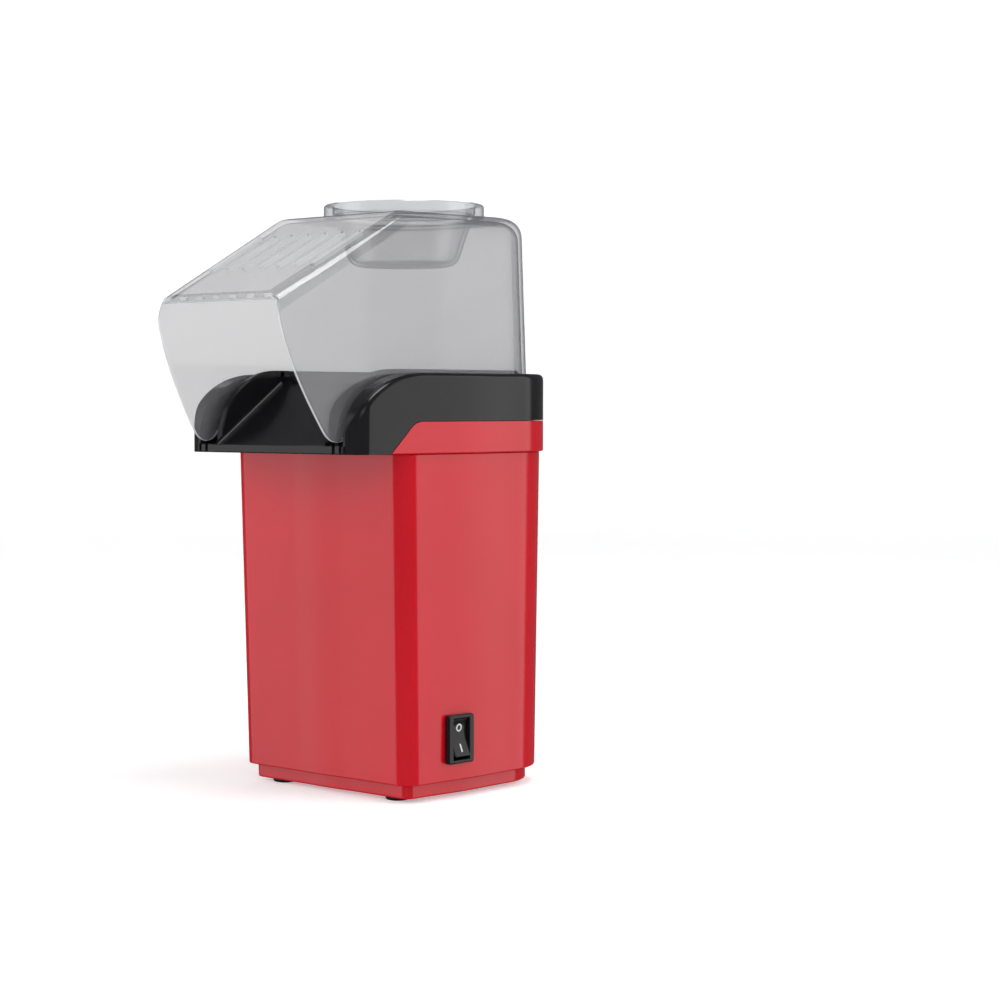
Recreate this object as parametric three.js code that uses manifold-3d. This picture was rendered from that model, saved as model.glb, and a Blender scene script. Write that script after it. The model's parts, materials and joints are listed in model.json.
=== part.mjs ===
// Hot-air popcorn maker: red body, black collar with chute, clear hood, measuring cup, heater and blower.
// Millimetres, +Z up, chute towards -Y, switch on +X. The origin is on the ground under the middle.
import * as THREE from 'three';
import { mergeVertices } from 'three/addons/utils/BufferGeometryUtils.js';
import Module from 'manifold-3d';

const wasm = await Module();
wasm.setup();

// Driving dimensions
const footHeight = 2;
const plinthInset = 4.9;
const bodyBottom = 9.1;
const bodyTop = 169.2;
const bandTop = 184.6;
const collarTop = 208.2;
const spigotTop = 210;
const bodyHalfWidth = 62.3;
const bodyFront = -31.7;
const bodyRear = 94.1;
const bandProud = 2;
const frontCorner = 9.5;
const rearCorner = 41;
const faceBulge = 1.5;
const taperCentreY = 51.5;
const taperX = 0.03;
const taperY = 0.054;
const wall = 2.4;
const gap = 0.3;

const chamberY = 32;
const chamberRadius = 40;
const chamberWall = 1.2;
const chamberBottom = 108;
const chamberFlange = 198;
const collarHole = 40.6;
const sleeveRadius = 47.4;

const lipFront = -62.8;
const lipTop = 173.4;
const chuteHalf = 38.5;
const chuteWall = 4.5;
const rampTopY = -13;
const plateTop = 207;
const plateUnder = 200.5;
const fenderInner = 50.2;
const fenderOuter = 61;
const fenderFront = -61.8;
const bandInnerFront = -22;

const hoodTop = 287;
const hoodFoldY = -14.8;
const browY = -96;
const browZ = 245;
const hoodWall = 2;
const hoodSeat = 203.2;
const hoodRound = 9;
const hoodRear = 87.7;

const cupRimRadius = 40.8;
const cupRimTop = 294;
const cupBowlBottom = 263;
const cupHole = 36.4;

const switchY = 7.4;
const switchZ = 29.7;
const switchFace = 60.9;
const rockerPivotX = 58.3;
const rockerTilt = 8;

const glandZ = 26;
const bossSpots = [
  { x: 50, y: -12, turn: 0 },
  { x: -50, y: -12, turn: 180 },
  { x: 39, y: 70, turn: 38 },
  { x: -39, y: 70, turn: 142 },
];
const collarPostX = 53.6;
const collarPostY = 20;
const chamberScrewRadius = 44.4;
const chamberScrewAngles = [-30, 90, 210];
const blowerDeck = 47;
const motorRadius = 13.8;

const radians = (degrees) => (degrees * Math.PI) / 180;

// Solids

function solid(geometry) {
  const bare = geometry.clone();
  bare.deleteAttribute('normal');
  bare.deleteAttribute('uv');
  const merged = mergeVertices(bare);
  return new wasm.Manifold(new wasm.Mesh({
    numProp: 3,
    vertProperties: new Float32Array(merged.attributes.position.array),
    triVerts: new Uint32Array(merged.index.array),
  }));
}

function geometryOf(body) {
  const mesh = body.getMesh();
  const geometry = new THREE.BufferGeometry();
  geometry.setAttribute('position', new THREE.BufferAttribute(new Float32Array(mesh.vertProperties), 3));
  geometry.setIndex(new THREE.BufferAttribute(new Uint32Array(mesh.triVerts), 1));
  geometry.computeVertexNormals();
  return geometry;
}

function join(...geometries) {
  return geometries.map(solid).reduce((whole, next) => whole.add(next));
}

function cut(base, tools) {
  return tools.map(solid).reduce((whole, tool) => whole.subtract(tool), base);
}

function block(x0, x1, y0, y1, z0, z1) {
  return new THREE.BoxGeometry(x1 - x0, y1 - y0, z1 - z0)
    .translate((x0 + x1) / 2, (y0 + y1) / 2, (z0 + z1) / 2);
}

function rod(x, y, z0, z1, radius, segments = 20) {
  return new THREE.CylinderGeometry(radius, radius, z1 - z0, segments)
    .rotateX(Math.PI / 2)
    .translate(x, y, (z0 + z1) / 2);
}

// A turned shape about the vertical through (x, y); the outline is a closed list of [radius, z].
function turned(outline, x, y, segments = 48) {
  const points = outline.map(([radius, z]) => new THREE.Vector2(radius, z));
  points.push(points[0].clone());
  return new THREE.LatheGeometry(points, segments).rotateX(Math.PI / 2).translate(x, y, 0);
}

function ring(x, y, z0, z1, inner, outer, segments = 48) {
  return turned([[inner, z0], [outer, z0], [outer, z1], [inner, z1]], x, y, segments);
}

function prism(shape, z0, z1, curveSegments = 6) {
  return new THREE.ExtrudeGeometry(shape, { depth: z1 - z0, bevelEnabled: false, curveSegments })
    .translate(0, 0, z0);
}

// Extrudes a shape drawn in (Y, Z) along X.
function sideways(shape, x0, x1, settings = {}) {
  const axes = new THREE.Matrix4().makeBasis(
    new THREE.Vector3(0, 1, 0),
    new THREE.Vector3(0, 0, 1),
    new THREE.Vector3(1, 0, 0),
  );
  return new THREE.ExtrudeGeometry(shape, { depth: x1 - x0, bevelEnabled: false, curveSegments: 6, ...settings })
    .applyMatrix4(axes)
    .translate(x0, 0, 0);
}

function moved(geometry, place) {
  const spots = geometry.attributes.position;
  const spot = new THREE.Vector3();
  for (let index = 0; index < spots.count; index += 1) {
    spot.fromBufferAttribute(spots, index);
    place(spot);
    spots.setXYZ(index, spot.x, spot.y, spot.z);
  }
  return geometry;
}

// The body and everything that follows its faces get narrower towards the floor.
function tapered(geometry) {
  return moved(geometry, (spot) => {
    const drop = Math.max(0, (bodyTop - spot.z) / (bodyTop - bodyBottom));
    spot.x *= 1 - drop * taperX;
    spot.y = taperCentreY + (spot.y - taperCentreY) * (1 - drop * taperY);
  });
}

// Plan of the body: small radii in front, wide ones behind, faces a little bowed.
function planOutline(inset) {
  const half = bodyHalfWidth - inset;
  const front = bodyFront + inset;
  const rear = bodyRear - inset;
  const small = Math.max(2, frontCorner - inset);
  const large = rearCorner - inset;
  const side = half - faceBulge;
  const frontLine = front + faceBulge;
  const rearLine = rear - faceBulge;
  const middle = (frontLine + small + rearLine - large) / 2;
  const shape = new THREE.Shape();
  shape.moveTo(-(side - small), frontLine);
  shape.quadraticCurveTo(0, front - faceBulge, side - small, frontLine);
  shape.absarc(side - small, frontLine + small, small, -Math.PI / 2, 0);
  shape.quadraticCurveTo(half + faceBulge, middle, side, rearLine - large);
  shape.absarc(side - large, rearLine - large, large, 0, Math.PI / 2);
  shape.quadraticCurveTo(0, rear + faceBulge, -(side - large), rearLine);
  shape.absarc(-(side - large), rearLine - large, large, Math.PI / 2, Math.PI);
  shape.quadraticCurveTo(-half - faceBulge, middle, -side, frontLine + small);
  shape.absarc(-(side - small), frontLine + small, small, Math.PI, Math.PI * 1.5);
  return shape;
}

const bodyPrism = (inset, z0, z1) => tapered(prism(planOutline(inset), z0, z1, 4));

// Side view of the space that the red band fills behind the black skirt's slanted edge.
function bandSide(grow) {
  const shape = new THREE.Shape();
  shape.moveTo(-44.5 - grow, bodyTop - 4);
  shape.lineTo(-28.6 - grow, 181 + grow);
  shape.quadraticCurveTo(-25.4 - grow, bandTop + grow, -20 - grow, bandTop + grow);
  shape.lineTo(130, bandTop + grow);
  shape.lineTo(130, bodyTop - 4);
  return shape;
}

// The two fenders beside the chute, from their front ends back to the body's sides.
function fenderPair(z0, z1) {
  const corner = 8;
  const plan = new THREE.Shape();
  plan.moveTo(fenderInner, fenderFront);
  plan.lineTo(fenderOuter - corner, fenderFront);
  plan.absarc(fenderOuter - corner, fenderFront + corner, corner, -Math.PI / 2, 0);
  plan.lineTo(bodyHalfWidth + bandProud - faceBulge + 0.2, -15);
  plan.lineTo(fenderInner, -15);
  const fender = solid(prism(plan, z0, z1));
  return fender.add(fender.mirror([1, 0, 0]));
}

function bossWeb(spot, z0, z1) {
  return new THREE.BoxGeometry(14, 2.4, z1 - z0)
    .translate(7, 0, (z0 + z1) / 2)
    .rotateZ(radians(spot.turn))
    .translate(spot.x, spot.y, 0);
}

function bodyShell() {
  const flange = 5.4;
  const band = solid(bodyPrism(-bandProud, bodyTop - gap, bandTop))
    .add(fenderPair(bodyTop - gap, bandTop))
    .intersect(solid(sideways(bandSide(0), -80, 80)))
    .intersect(solid(block(-80, 80, -60, 120, bodyTop, bandTop)))
    .subtract(solid(block(-fenderInner, fenderInner, -60, bandInnerFront, bodyTop, bandTop + 1)));
  const shell = solid(bodyPrism(0, bodyBottom, bodyTop))
    .add(band)
    .subtract(solid(bodyPrism(0.2, bodyTop + 2, bandTop + 1)))
    .subtract(solid(bodyPrism(wall, bodyBottom + 2, bandTop + 1)))
    .subtract(solid(bodyPrism(flange, bodyBottom - 1, bodyBottom + 3)));
  const inside = solid(bodyPrism(1, bodyBottom, bodyTop));
  const bosses = bossSpots
    .map((spot) => join(rod(spot.x, spot.y, 13.6, 34, 4, 16), bossWeb(spot, 13.6, 34)).intersect(inside))
    .reduce((whole, next) => whole.add(next));
  const tabs = join(
    block(collarPostX - 5, 61, collarPostY - 6, collarPostY + 6, 160, 163),
    block(-61, -collarPostX + 5, collarPostY - 6, collarPostY + 6, 160, 163),
  ).intersect(inside);
  const holes = [
    ...bossSpots.map((spot) => rod(spot.x, spot.y, 13, 32, 1.9, 12)),
    rod(collarPostX, collarPostY, 159, 164, 1.9, 12),
    rod(-collarPostX, collarPostY, 159, 164, 1.9, 12),
    block(50, 70, switchY - 7.3, switchY + 7.3, switchZ - 11.5, switchZ + 11.5),
    new THREE.CylinderGeometry(6.4, 6.4, 20, 20).translate(0, 90, glandZ),
  ];
  return cut(shell.add(bosses).add(tabs), holes);
}

function basePlate() {
  const tray = solid(bodyPrism(plinthInset, footHeight, bodyBottom - gap))
    .add(solid(bodyPrism(plinthInset + 0.9, bodyBottom - 2, 13)))
    .subtract(solid(bodyPrism(plinthInset + wall, footHeight + wall, 14)));
  const standoffs = join(...bossSpots.map((spot) => rod(spot.x, spot.y, footHeight + 1, 13.2, 4, 16)));
  const boardSeat = join(block(-28, -10, 77, 82.6, footHeight + 1, 13));
  const slots = [];
  for (let index = -3; index <= 3; index += 1) {
    slots.push(block(index * 8 - 1.6, index * 8 + 1.6, 4, 34, 0, 6));
    slots.push(block(index * 8 - 1.6, index * 8 + 1.6, 40, 70, 0, 6));
  }
  const holes = bossSpots.flatMap((spot) => [
    rod(spot.x, spot.y, 0, 14, 1.9, 12),
    rod(spot.x, spot.y, 0, footHeight + 3, 3.6, 16),
  ]);
  const feet = footSpots().map(([x, y]) => rod(x, y, 0, footHeight + 1.2, 6.4, 16));
  const boardSlot = block(-29, -9, 79.2, 81.4, 10, 14);
  return cut(tray.add(standoffs).add(boardSeat), [...slots, ...holes, ...feet, boardSlot]);
}

function footSpots() {
  return [[40, -14], [-40, -14], [24, 76], [-24, 76]];
}

function foot([x, y]) {
  return turned([[0, 0], [5, 0], [6, 0.8], [6, footHeight + 0.9], [0, footHeight + 0.9]], x, y, 16);
}

// A pan-head screw pointing up from its head, with a cross slot underneath.
function screw(x, y, headZ, length, headRadius = 3.1, shankRadius = 1.55) {
  const headHeight = 1.8;
  const shape = turned([
    [0, headZ],
    [headRadius - 0.7, headZ],
    [headRadius, headZ + 0.7],
    [headRadius, headZ + headHeight],
    [shankRadius, headZ + headHeight],
    [shankRadius, headZ + length - 1],
    [0, headZ + length],
  ], x, y, 12);
  const slots = [
    block(x - 1.8, x + 1.8, y - 0.35, y + 0.35, headZ - 1, headZ + 0.9),
    block(x - 0.35, x + 0.35, y - 1.8, y + 1.8, headZ - 1, headZ + 0.9),
  ];
  return geometryOf(cut(solid(shape), slots));
}

// Collar, chute and hood seat

function lobe(centreY, centreZ, reach, rise, base) {
  const shape = new THREE.Shape();
  shape.moveTo(centreY - reach, base);
  shape.lineTo(centreY - reach, centreZ);
  shape.absellipse(centreY, centreZ, reach, rise, Math.PI, Math.PI / 2, true);
  shape.lineTo(130, centreZ + rise);
  shape.lineTo(130, base);
  return shape;
}

const hoodHalf = (y, z) => 56.1 + 0.0716 * y - 0.0256 * z;

// Plan of the hood at the height of its seat: straight sides, wide corners behind.
function hoodPlan(inset) {
  const corner = 40 - inset;
  const rear = hoodRear - inset;
  const shape = new THREE.Shape();
  shape.moveTo(-hoodHalf(-140, hoodSeat) + inset, -140);
  shape.lineTo(hoodHalf(-140, hoodSeat) - inset, -140);
  const side = hoodHalf(rear - corner, hoodSeat) - inset;
  shape.lineTo(side, rear - corner);
  shape.absarc(side - corner, rear - corner, corner, 0, Math.PI / 2);
  shape.absarc(corner - side, rear - corner, corner, Math.PI / 2, Math.PI);
  return shape;
}

function topCollar() {
  const round = 4.5;
  const upper = tapered(new THREE.ExtrudeGeometry(planOutline(-bandProud), {
    depth: collarTop - bodyTop - round,
    bevelThickness: round,
    bevelSize: round,
    bevelOffset: -round,
    bevelSegments: 3,
    curveSegments: 4,
  }).translate(0, 0, bodyTop));
  const upperRing = solid(upper).intersect(solid(block(-80, 80, -80, 110, bodyTop, collarTop)));
  // The bevel also narrows the lower end, so a plain prism fills the skirt out again.
  const skirt = solid(bodyPrism(-bandProud, bodyTop, bodyTop + 10));
  const fenderSide = solid(sideways(lobe(-17, 178.5, 46.2, collarTop - 178.5, bodyTop - 1), -80, 80));
  const fenders = fenderPair(bodyTop, collarTop).intersect(fenderSide);
  const chuteEnd = chuteHalf + chuteWall;
  const chute = solid(sideways(lobe(-20, 175, 38, spigotTop - 175, bodyTop), -chuteEnd, chuteEnd))
    .intersect(solid(block(-60, 60, -70, -10, bodyTop, spigotTop)));
  const lip = join(block(-51.6, 51.6, lipFront, -30, bodyTop, lipTop));
  const spigot = solid(prism(hoodPlan(hoodWall + 0.6), hoodSeat - 1, spigotTop))
    .intersect(solid(block(-60, 60, -18, 100, 190, spigotTop)));
  const whole = upperRing.add(skirt).intersect(fenderSide).add(fenders).add(chute).add(lip);

  // Hollows: the inside from below, the hood's seat, the chute's channel, the chamber's hole.
  const inside = solid(bodyPrism(2.2, bodyTop + 2, plateUnder));
  const open = solid(bodyPrism(wall + 0.3, bodyTop - 1, bodyTop + 3));
  const seat = solid(prism(hoodPlan(-0.5), hoodSeat, collarTop + 8))
    .intersect(solid(block(-70, 70, -18, 100, 190, 230)));
  const ramp = new THREE.Shape();
  ramp.moveTo(lipFront + 1.5, lipTop - 0.6);
  ramp.lineTo(rampTopY, plateTop);
  ramp.lineTo(120, plateTop);
  ramp.lineTo(120, 240);
  ramp.lineTo(lipFront - 10, 240);
  ramp.lineTo(lipFront - 10, lipTop - 0.6);
  const channel = solid(sideways(ramp, -chuteHalf, chuteHalf))
    .intersect(solid(block(-60, 60, -80, -8, 150, 240)));
  const spigotWell = solid(prism(hoodPlan(hoodWall + 3), plateTop, 240))
    .intersect(solid(block(-60, 60, -14, 100, 190, 240)));
  const under = new THREE.Shape();
  under.moveTo(-56, bodyTop + 2.2);
  under.lineTo(rampTopY - 1, plateTop - 6.5);
  under.lineTo(10, plateTop - 6.5);
  under.lineTo(10, bodyTop + 2.2);
  const underChute = solid(sideways(under, -chuteHalf, chuteHalf));
  const grooves = join(
    block(chuteEnd, fenderInner, -54, -14, 174.2, 240),
    block(-fenderInner, -chuteEnd, -54, -14, 174.2, 240),
    block(chuteEnd, fenderInner, -80, -53.9, lipTop, 240),
    block(-fenderInner, -chuteEnd, -80, -53.9, lipTop, 240),
  );
  const fenderHollow = join(
    block(fenderInner + 2, fenderOuter - 2.4, -50, -26, bodyTop - 1, 186),
    block(-fenderOuter + 2.4, -fenderInner - 2, -50, -26, bodyTop - 1, 186),
  );
  const posts = join(...[-1, 1].map((side) => rod(side * collarPostX, collarPostY, 163.3, plateUnder + 1, 4)));
  const tools = [];
  for (const side of [-1, 1]) {
    tools.push(rod(side * collarPostX, collarPostY, 163, 178, 1.9, 12));
    tools.push(block(side * 44.8 - 1, side * 44.8 + 1, -64, -58, bodyTop - 1, lipTop + 1));
    tools.push(block(side * 49.2 - 0.9, side * 49.2 + 0.9, -64, -58, bodyTop - 1, lipTop + 1));
  }
  for (const angle of chamberScrewAngles) {
    const x = chamberScrewRadius * Math.cos(radians(angle));
    const y = chamberY + chamberScrewRadius * Math.sin(radians(angle));
    tools.push(rod(x, y, plateUnder - 1, plateUnder + 2.4, 1.5, 12));
  }
  tools.push(rod(0, chamberY, 150, 230, collarHole, 40));
  // Room for the red band, but the chute between the fenders stays whole.
  const chuteRoom = fenderInner - gap;
  const band = solid(sideways(bandSide(gap), -80, 80))
    .intersect(solid(block(-80, 80, -60, 120, bodyTop - 2, bandTop + gap)))
    .subtract(solid(block(-chuteRoom, chuteRoom, -60, -9.7, bodyTop - 3, bandTop + 1)));
  const rim = solid(bodyPrism(-gap, bodyTop - 1, bodyTop + gap));
  const shaped = whole
    .subtract(seat)
    .add(spigot)
    .subtract(inside)
    .subtract(open)
    .subtract(channel)
    .subtract(spigotWell)
    .subtract(underChute)
    .subtract(grooves)
    .subtract(fenderHollow)
    .subtract(band)
    .subtract(rim)
    .add(posts);
  return cut(shaped, tools).intersect(solid(block(-80, 80, -80, 120, 150, spigotTop)));
}

// Hood: a tapered box with a slanted roof, open in front, over the chute.

function hoodTaper(geometry) {
  return moved(geometry, (spot) => {
    const rise = spot.z - hoodSeat;
    spot.x *= hoodHalf(spot.y, spot.z) / hoodHalf(spot.y, hoodSeat);
    spot.y = chamberY + (spot.y - chamberY) * (1 - rise * 0.00052);
  });
}

function hoodBlank(inset) {
  const upright = hoodTaper(new THREE.ExtrudeGeometry(hoodPlan(inset), {
    depth: hoodTop - inset - 140 - hoodRound,
    bevelThickness: hoodRound,
    bevelSize: hoodRound,
    bevelOffset: -hoodRound,
    bevelSegments: 3,
    curveSegments: 6,
  }).translate(0, 0, 140));
  const slope = (hoodTop - browZ) / (hoodFoldY - browY);
  const drop = inset / Math.cos(Math.atan(slope));
  const roof = new THREE.Shape();
  roof.moveTo(150, 120);
  roof.lineTo(150, hoodTop - inset);
  roof.lineTo(hoodFoldY + inset * 0.24, hoodTop - inset);
  roof.lineTo(-150, hoodTop - drop - slope * (hoodFoldY + 150));
  roof.lineTo(-150, 120);
  const width = 60;
  const slab = sideways(roof, -width + hoodRound, width - hoodRound, {
    bevelEnabled: true,
    bevelThickness: hoodRound,
    bevelSize: hoodRound,
    bevelOffset: -hoodRound,
    bevelSegments: 3,
  });
  moved(slab, (spot) => {
    const half = hoodHalf(spot.y, spot.z) - inset;
    const fromEdge = width - Math.abs(spot.x);
    spot.x = Math.sign(spot.x) * (half - fromEdge);
  });
  return solid(upright).intersect(solid(slab));
}

// Side view of the hood: brow, curved front edge, rounded tip beside the lip, and the rim in the seat.
function hoodSide() {
  const rim = hoodSeat + gap;
  const shape = new THREE.Shape();
  shape.moveTo(browY - 0.1, browZ + 6);
  shape.lineTo(browY - 0.1, browZ - 2);
  shape.quadraticCurveTo(-89.3, 209.2, -69.8, 179.6);
  shape.bezierCurveTo(-66.5, 174.9, -60.5, 172.9, -55.5, 177.5);
  shape.quadraticCurveTo(-44, 195, -17, rim);
  shape.lineTo(120, rim);
  shape.lineTo(120, 300);
  shape.lineTo(browY - 0.1, 300);
  return shape;
}

function hood() {
  const shell = hoodBlank(0).intersect(solid(sideways(hoodSide(), -80, 80))).subtract(hoodBlank(hoodWall));
  const slope = Math.atan((hoodTop - browZ) / (hoodFoldY - browY));
  const tools = [rod(0, chamberY, 270, 300, cupHole, 40)];
  for (let index = -3; index <= 3; index += 1) {
    tools.push(new THREE.BoxGeometry(2.6, 38, 12)
      .translate(0, -41.5, 0)
      .rotateX(slope)
      .translate(index * 11.9, hoodFoldY, hoodTop));
  }
  return cut(shell, tools);
}

function measuringCup() {
  const seat = hoodTop + gap;
  return turned([
    [0, cupBowlBottom],
    [21, cupBowlBottom],
    [25.5, cupBowlBottom + 2.5],
    [35, seat - 4],
    [35.4, seat],
    [cupRimRadius, seat],
    [cupRimRadius, cupRimTop],
    [cupRimRadius - 1.8, cupRimTop],
    [cupRimRadius - 1.8, seat + 1.8],
    [33.8, seat + 1.8],
    [33.2, seat - 3.4],
    [24.2, cupBowlBottom + 4],
    [20.4, cupBowlBottom + 1.8],
    [0, cupBowlBottom + 1.8],
  ], 0, chamberY, 40);
}

// Rocker switch

function switchFrame() {
  const bezel = block(switchFace, switchFace + 2, switchY - 9.1, switchY + 9.1, switchZ - 12, switchZ + 12);
  const box = block(44, switchFace + 1, switchY - 6.9, switchY + 6.9, switchZ - 11.2, switchZ + 11.2);
  const pocket = block(50, 70, switchY - 5.7, switchY + 5.7, switchZ - 10.1, switchZ + 10.1);
  const pinHole = new THREE.CylinderGeometry(1.5, 1.5, 20, 16).translate(rockerPivotX, switchY, switchZ);
  const blades = [-6, 6].map((z) => block(43, 48, switchY - 2.6, switchY + 2.6, switchZ + z - 0.7, switchZ + z + 0.7));
  return cut(join(bezel, box), [pocket, pinHole, ...blades]);
}

function switchRocker() {
  const shape = new THREE.Shape();
  shape.moveTo(4.6, -9.1);
  shape.quadraticCurveTo(0.6, 0, 4.6, 9.1);
  shape.lineTo(0, 9);
  shape.lineTo(-4.2, 3);
  shape.lineTo(-4.2, -3);
  shape.lineTo(0, -9);
  const cap = new THREE.ExtrudeGeometry(shape, { depth: 10.8, bevelEnabled: false, curveSegments: 8 })
    .rotateX(Math.PI / 2)
    .translate(0, 5.4, 0);
  const pin = new THREE.CylinderGeometry(1.15, 1.15, 13.2, 12);
  return geometryOf(join(cap, pin))
    .rotateY(radians(-rockerTilt))
    .translate(rockerPivotX, switchY, switchZ);
}

function switchTerminal(offset) {
  return block(38, 47.6, switchY - 2.3, switchY + 2.3, switchZ + offset - 0.4, switchZ + offset + 0.4);
}

// Cord gland behind: flange outside, neck through the wall, bore for the cord.
function cordGland() {
  return turned([
    [3.6, -8],
    [7.6, -8],
    [7.6, -6.2],
    [6, -6.2],
    [6, 0.2],
    [8.6, 0.2],
    [8.6, 1.6],
    [7.8, 2.6],
    [3.6, 2.6],
  ], 0, 0, 20).rotateX(-Math.PI / 2).translate(0, 92.9, glandZ);
}

// Heater

function poppingChamber() {
  const inner = chamberRadius - chamberWall;
  const cup = turned([
    [0, chamberBottom + 2],
    [chamberRadius - 9, chamberBottom],
    [chamberRadius - 2.5, chamberBottom + 1.6],
    [chamberRadius, chamberBottom + 6],
    [chamberRadius, chamberFlange],
    [sleeveRadius - 0.2, chamberFlange],
    [sleeveRadius - 0.2, chamberFlange + chamberWall],
    [inner, chamberFlange + chamberWall],
    [inner, chamberBottom + 6.4],
    [inner - 2.1, chamberBottom + 2.8],
    [chamberRadius - 9, chamberBottom + chamberWall],
    [0, chamberBottom + 2 + chamberWall],
  ], 0, chamberY, 40);
  const louvres = [];
  const louvreCount = 20;
  for (let index = 0; index < louvreCount; index += 1) {
    louvres.push(new THREE.BoxGeometry(6, 1.8, 11)
      .rotateX(radians(24))
      .translate(chamberRadius, 0, chamberBottom + 13)
      .rotateZ((index / louvreCount) * Math.PI * 2)
      .translate(0, chamberY, 0));
  }
  for (const angle of chamberScrewAngles) {
    const x = chamberScrewRadius * Math.cos(radians(angle));
    const y = chamberY + chamberScrewRadius * Math.sin(radians(angle));
    louvres.push(rod(x, y, chamberFlange - 1, chamberFlange + 2, 1.5, 12));
  }
  return cut(solid(cup), louvres);
}

function chamberGasket() {
  const holes = chamberScrewAngles.map((angle) => rod(
    chamberScrewRadius * Math.cos(radians(angle)),
    chamberY + chamberScrewRadius * Math.sin(radians(angle)),
    chamberFlange,
    plateUnder + 1,
    1.5,
    12,
  ));
  return cut(solid(ring(0, chamberY, chamberFlange + 1.5, plateUnder - gap, 41.6, sleeveRadius - 0.4, 32)), holes);
}

function chamberScrew(angle) {
  const x = chamberScrewRadius * Math.cos(radians(angle));
  const y = chamberY + chamberScrewRadius * Math.sin(radians(angle));
  return screw(x, y, chamberFlange - 2.1, 6.4, 2.2, 1.2);
}

function heatShield() {
  const sleeve = solid(ring(0, chamberY, 66, chamberFlange - 2.6, sleeveRadius - 0.8, sleeveRadius, 40));
  return sleeve;
}

// Two mica plates slotted into each other, with feet that stand on the blower housing's rim.
function heaterPlate(turn, slotFrom, slotTo) {
  const plate = join(
    block(-35.4, 35.4, -0.5, 0.5, 70, 102),
    block(-46, 46, -0.5, 0.5, 70, 76),
  );
  const body = cut(plate, [block(-0.8, 0.8, -2, 2, slotFrom, slotTo)]);
  return geometryOf(body).rotateZ(radians(turn)).translate(0, chamberY, 0);
}

function heatingCoil() {
  const turns = 5;
  const steps = 16;
  const points = [];
  for (let index = 0; index <= turns * steps; index += 1) {
    const angle = (index / steps) * Math.PI * 2 + 0.4;
    const z = 80 + (index / (turns * steps)) * 19;
    points.push(new THREE.Vector3(37 * Math.cos(angle), chamberY + 37 * Math.sin(angle), z));
  }
  const wire = new THREE.Shape();
  wire.absarc(0, 0, 0.9, 0, Math.PI * 2);
  return new THREE.ExtrudeGeometry(wire, {
    steps: turns * steps,
    extrudePath: new THREE.CatmullRomCurve3(points),
    curveSegments: 3,
    bevelEnabled: false,
  });
}

function thermostat() {
  return turned([[0, 0], [8, 0], [8, 5], [6.6, 5.6], [6.6, 7.4], [0, 7.4]], 0, 0, 24)
    .rotateY(-Math.PI / 2)
    .translate(-49, chamberY, 124);
}

function thermostatBracket() {
  const strap = join(
    block(-48.6, -47.8, chamberY - 13, chamberY + 13, 117, 131),
    block(-48.6, -46.6, chamberY - 14, chamberY - 12.2, 117, 131),
    block(-48.6, -46.6, chamberY + 12.2, chamberY + 14, 117, 131),
  );
  return strap;
}

function thermalFuse() {
  const x = -36.6;
  const y = chamberY + 36.6;
  return turned([
    [0, 96], [0.5, 96], [0.5, 106], [2, 107], [2, 118], [0.5, 119], [0.5, 129], [0, 129],
  ], x, y, 12);
}

// Blower

function blowerHousing() {
  const legAngles = [30, 150, 270];
  const tube = ring(0, chamberY, blowerDeck, 65.6, sleeveRadius - 3, sleeveRadius, 40);
  const rim = ring(0, chamberY, 65.5, 69.7, sleeveRadius - 4.6, sleeveRadius - 1.2, 40);
  const hub = rod(0, chamberY, blowerDeck, blowerDeck + 3, motorRadius + 1.6, 32);
  const spokes = legAngles.map((angle) => new THREE.BoxGeometry(36, 4, 3)
    .translate(28, 0, blowerDeck + 1.5)
    .rotateZ(radians(angle))
    .translate(0, chamberY, 0));
  const legs = legAngles.map((angle) => new THREE.BoxGeometry(3.4, 8, blowerDeck - 3.7)
    .translate(44.6, 0, (blowerDeck + 5.7) / 2)
    .rotateZ(radians(angle))
    .translate(0, chamberY, 0));
  const holes = [
    rod(0, chamberY, 40, 56, 4.2),
    rod(8, chamberY, 40, 56, 1.6, 12),
    rod(-8, chamberY, 40, 56, 1.6, 12),
  ];
  return cut(join(tube, rim, hub, ...spokes, ...legs), holes);
}

function impeller() {
  const hubRadius = 10;
  const bladeCount = 9;
  const hub = rod(0, 0, 54, 64, hubRadius, 32);
  const blades = [];
  for (let index = 0; index < bladeCount; index += 1) {
    blades.push(new THREE.BoxGeometry(34, 1.4, 11)
      .rotateX(radians(48))
      .translate(25.5, 0, 59)
      .rotateZ((index / bladeCount) * Math.PI * 2));
  }
  const round = solid(rod(0, 0, 50, 68, 42.4, 40));
  const bladed = join(hub, ...blades).intersect(round);
  return geometryOf(cut(bladed, [rod(0, 0, 50, 70, 1.8, 16)])).translate(0, chamberY, 0);
}

function motorCan() {
  return turned([
    [3.8, 44.4], [12.6, 44.4], [12.6, 16.4], [motorRadius, 16.4], [motorRadius, 46.6], [3.8, 46.6],
  ], 0, chamberY, 24);
}

function motorEndCap() {
  return turned([
    [3.8, 12], [8, 12], [8, 13.4], [motorRadius, 13.4], [motorRadius, 16.1], [3.8, 16.1],
  ], 0, chamberY, 24);
}

function motorMagnet(side) {
  const segment = solid(ring(0, chamberY, 19, 42, 9, 12.3, 40));
  const keep = side > 0 ? block(2.4, 20, 0, 70, 10, 50) : block(-20, -2.4, 0, 70, 10, 50);
  return segment.intersect(solid(keep));
}

function motorScrew(side) {
  const x = side * 8;
  return screw(0, 0, 0, 8.6, 2.6, 1.3)
    .rotateX(Math.PI)
    .translate(x, chamberY, 52.4);
}

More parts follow.
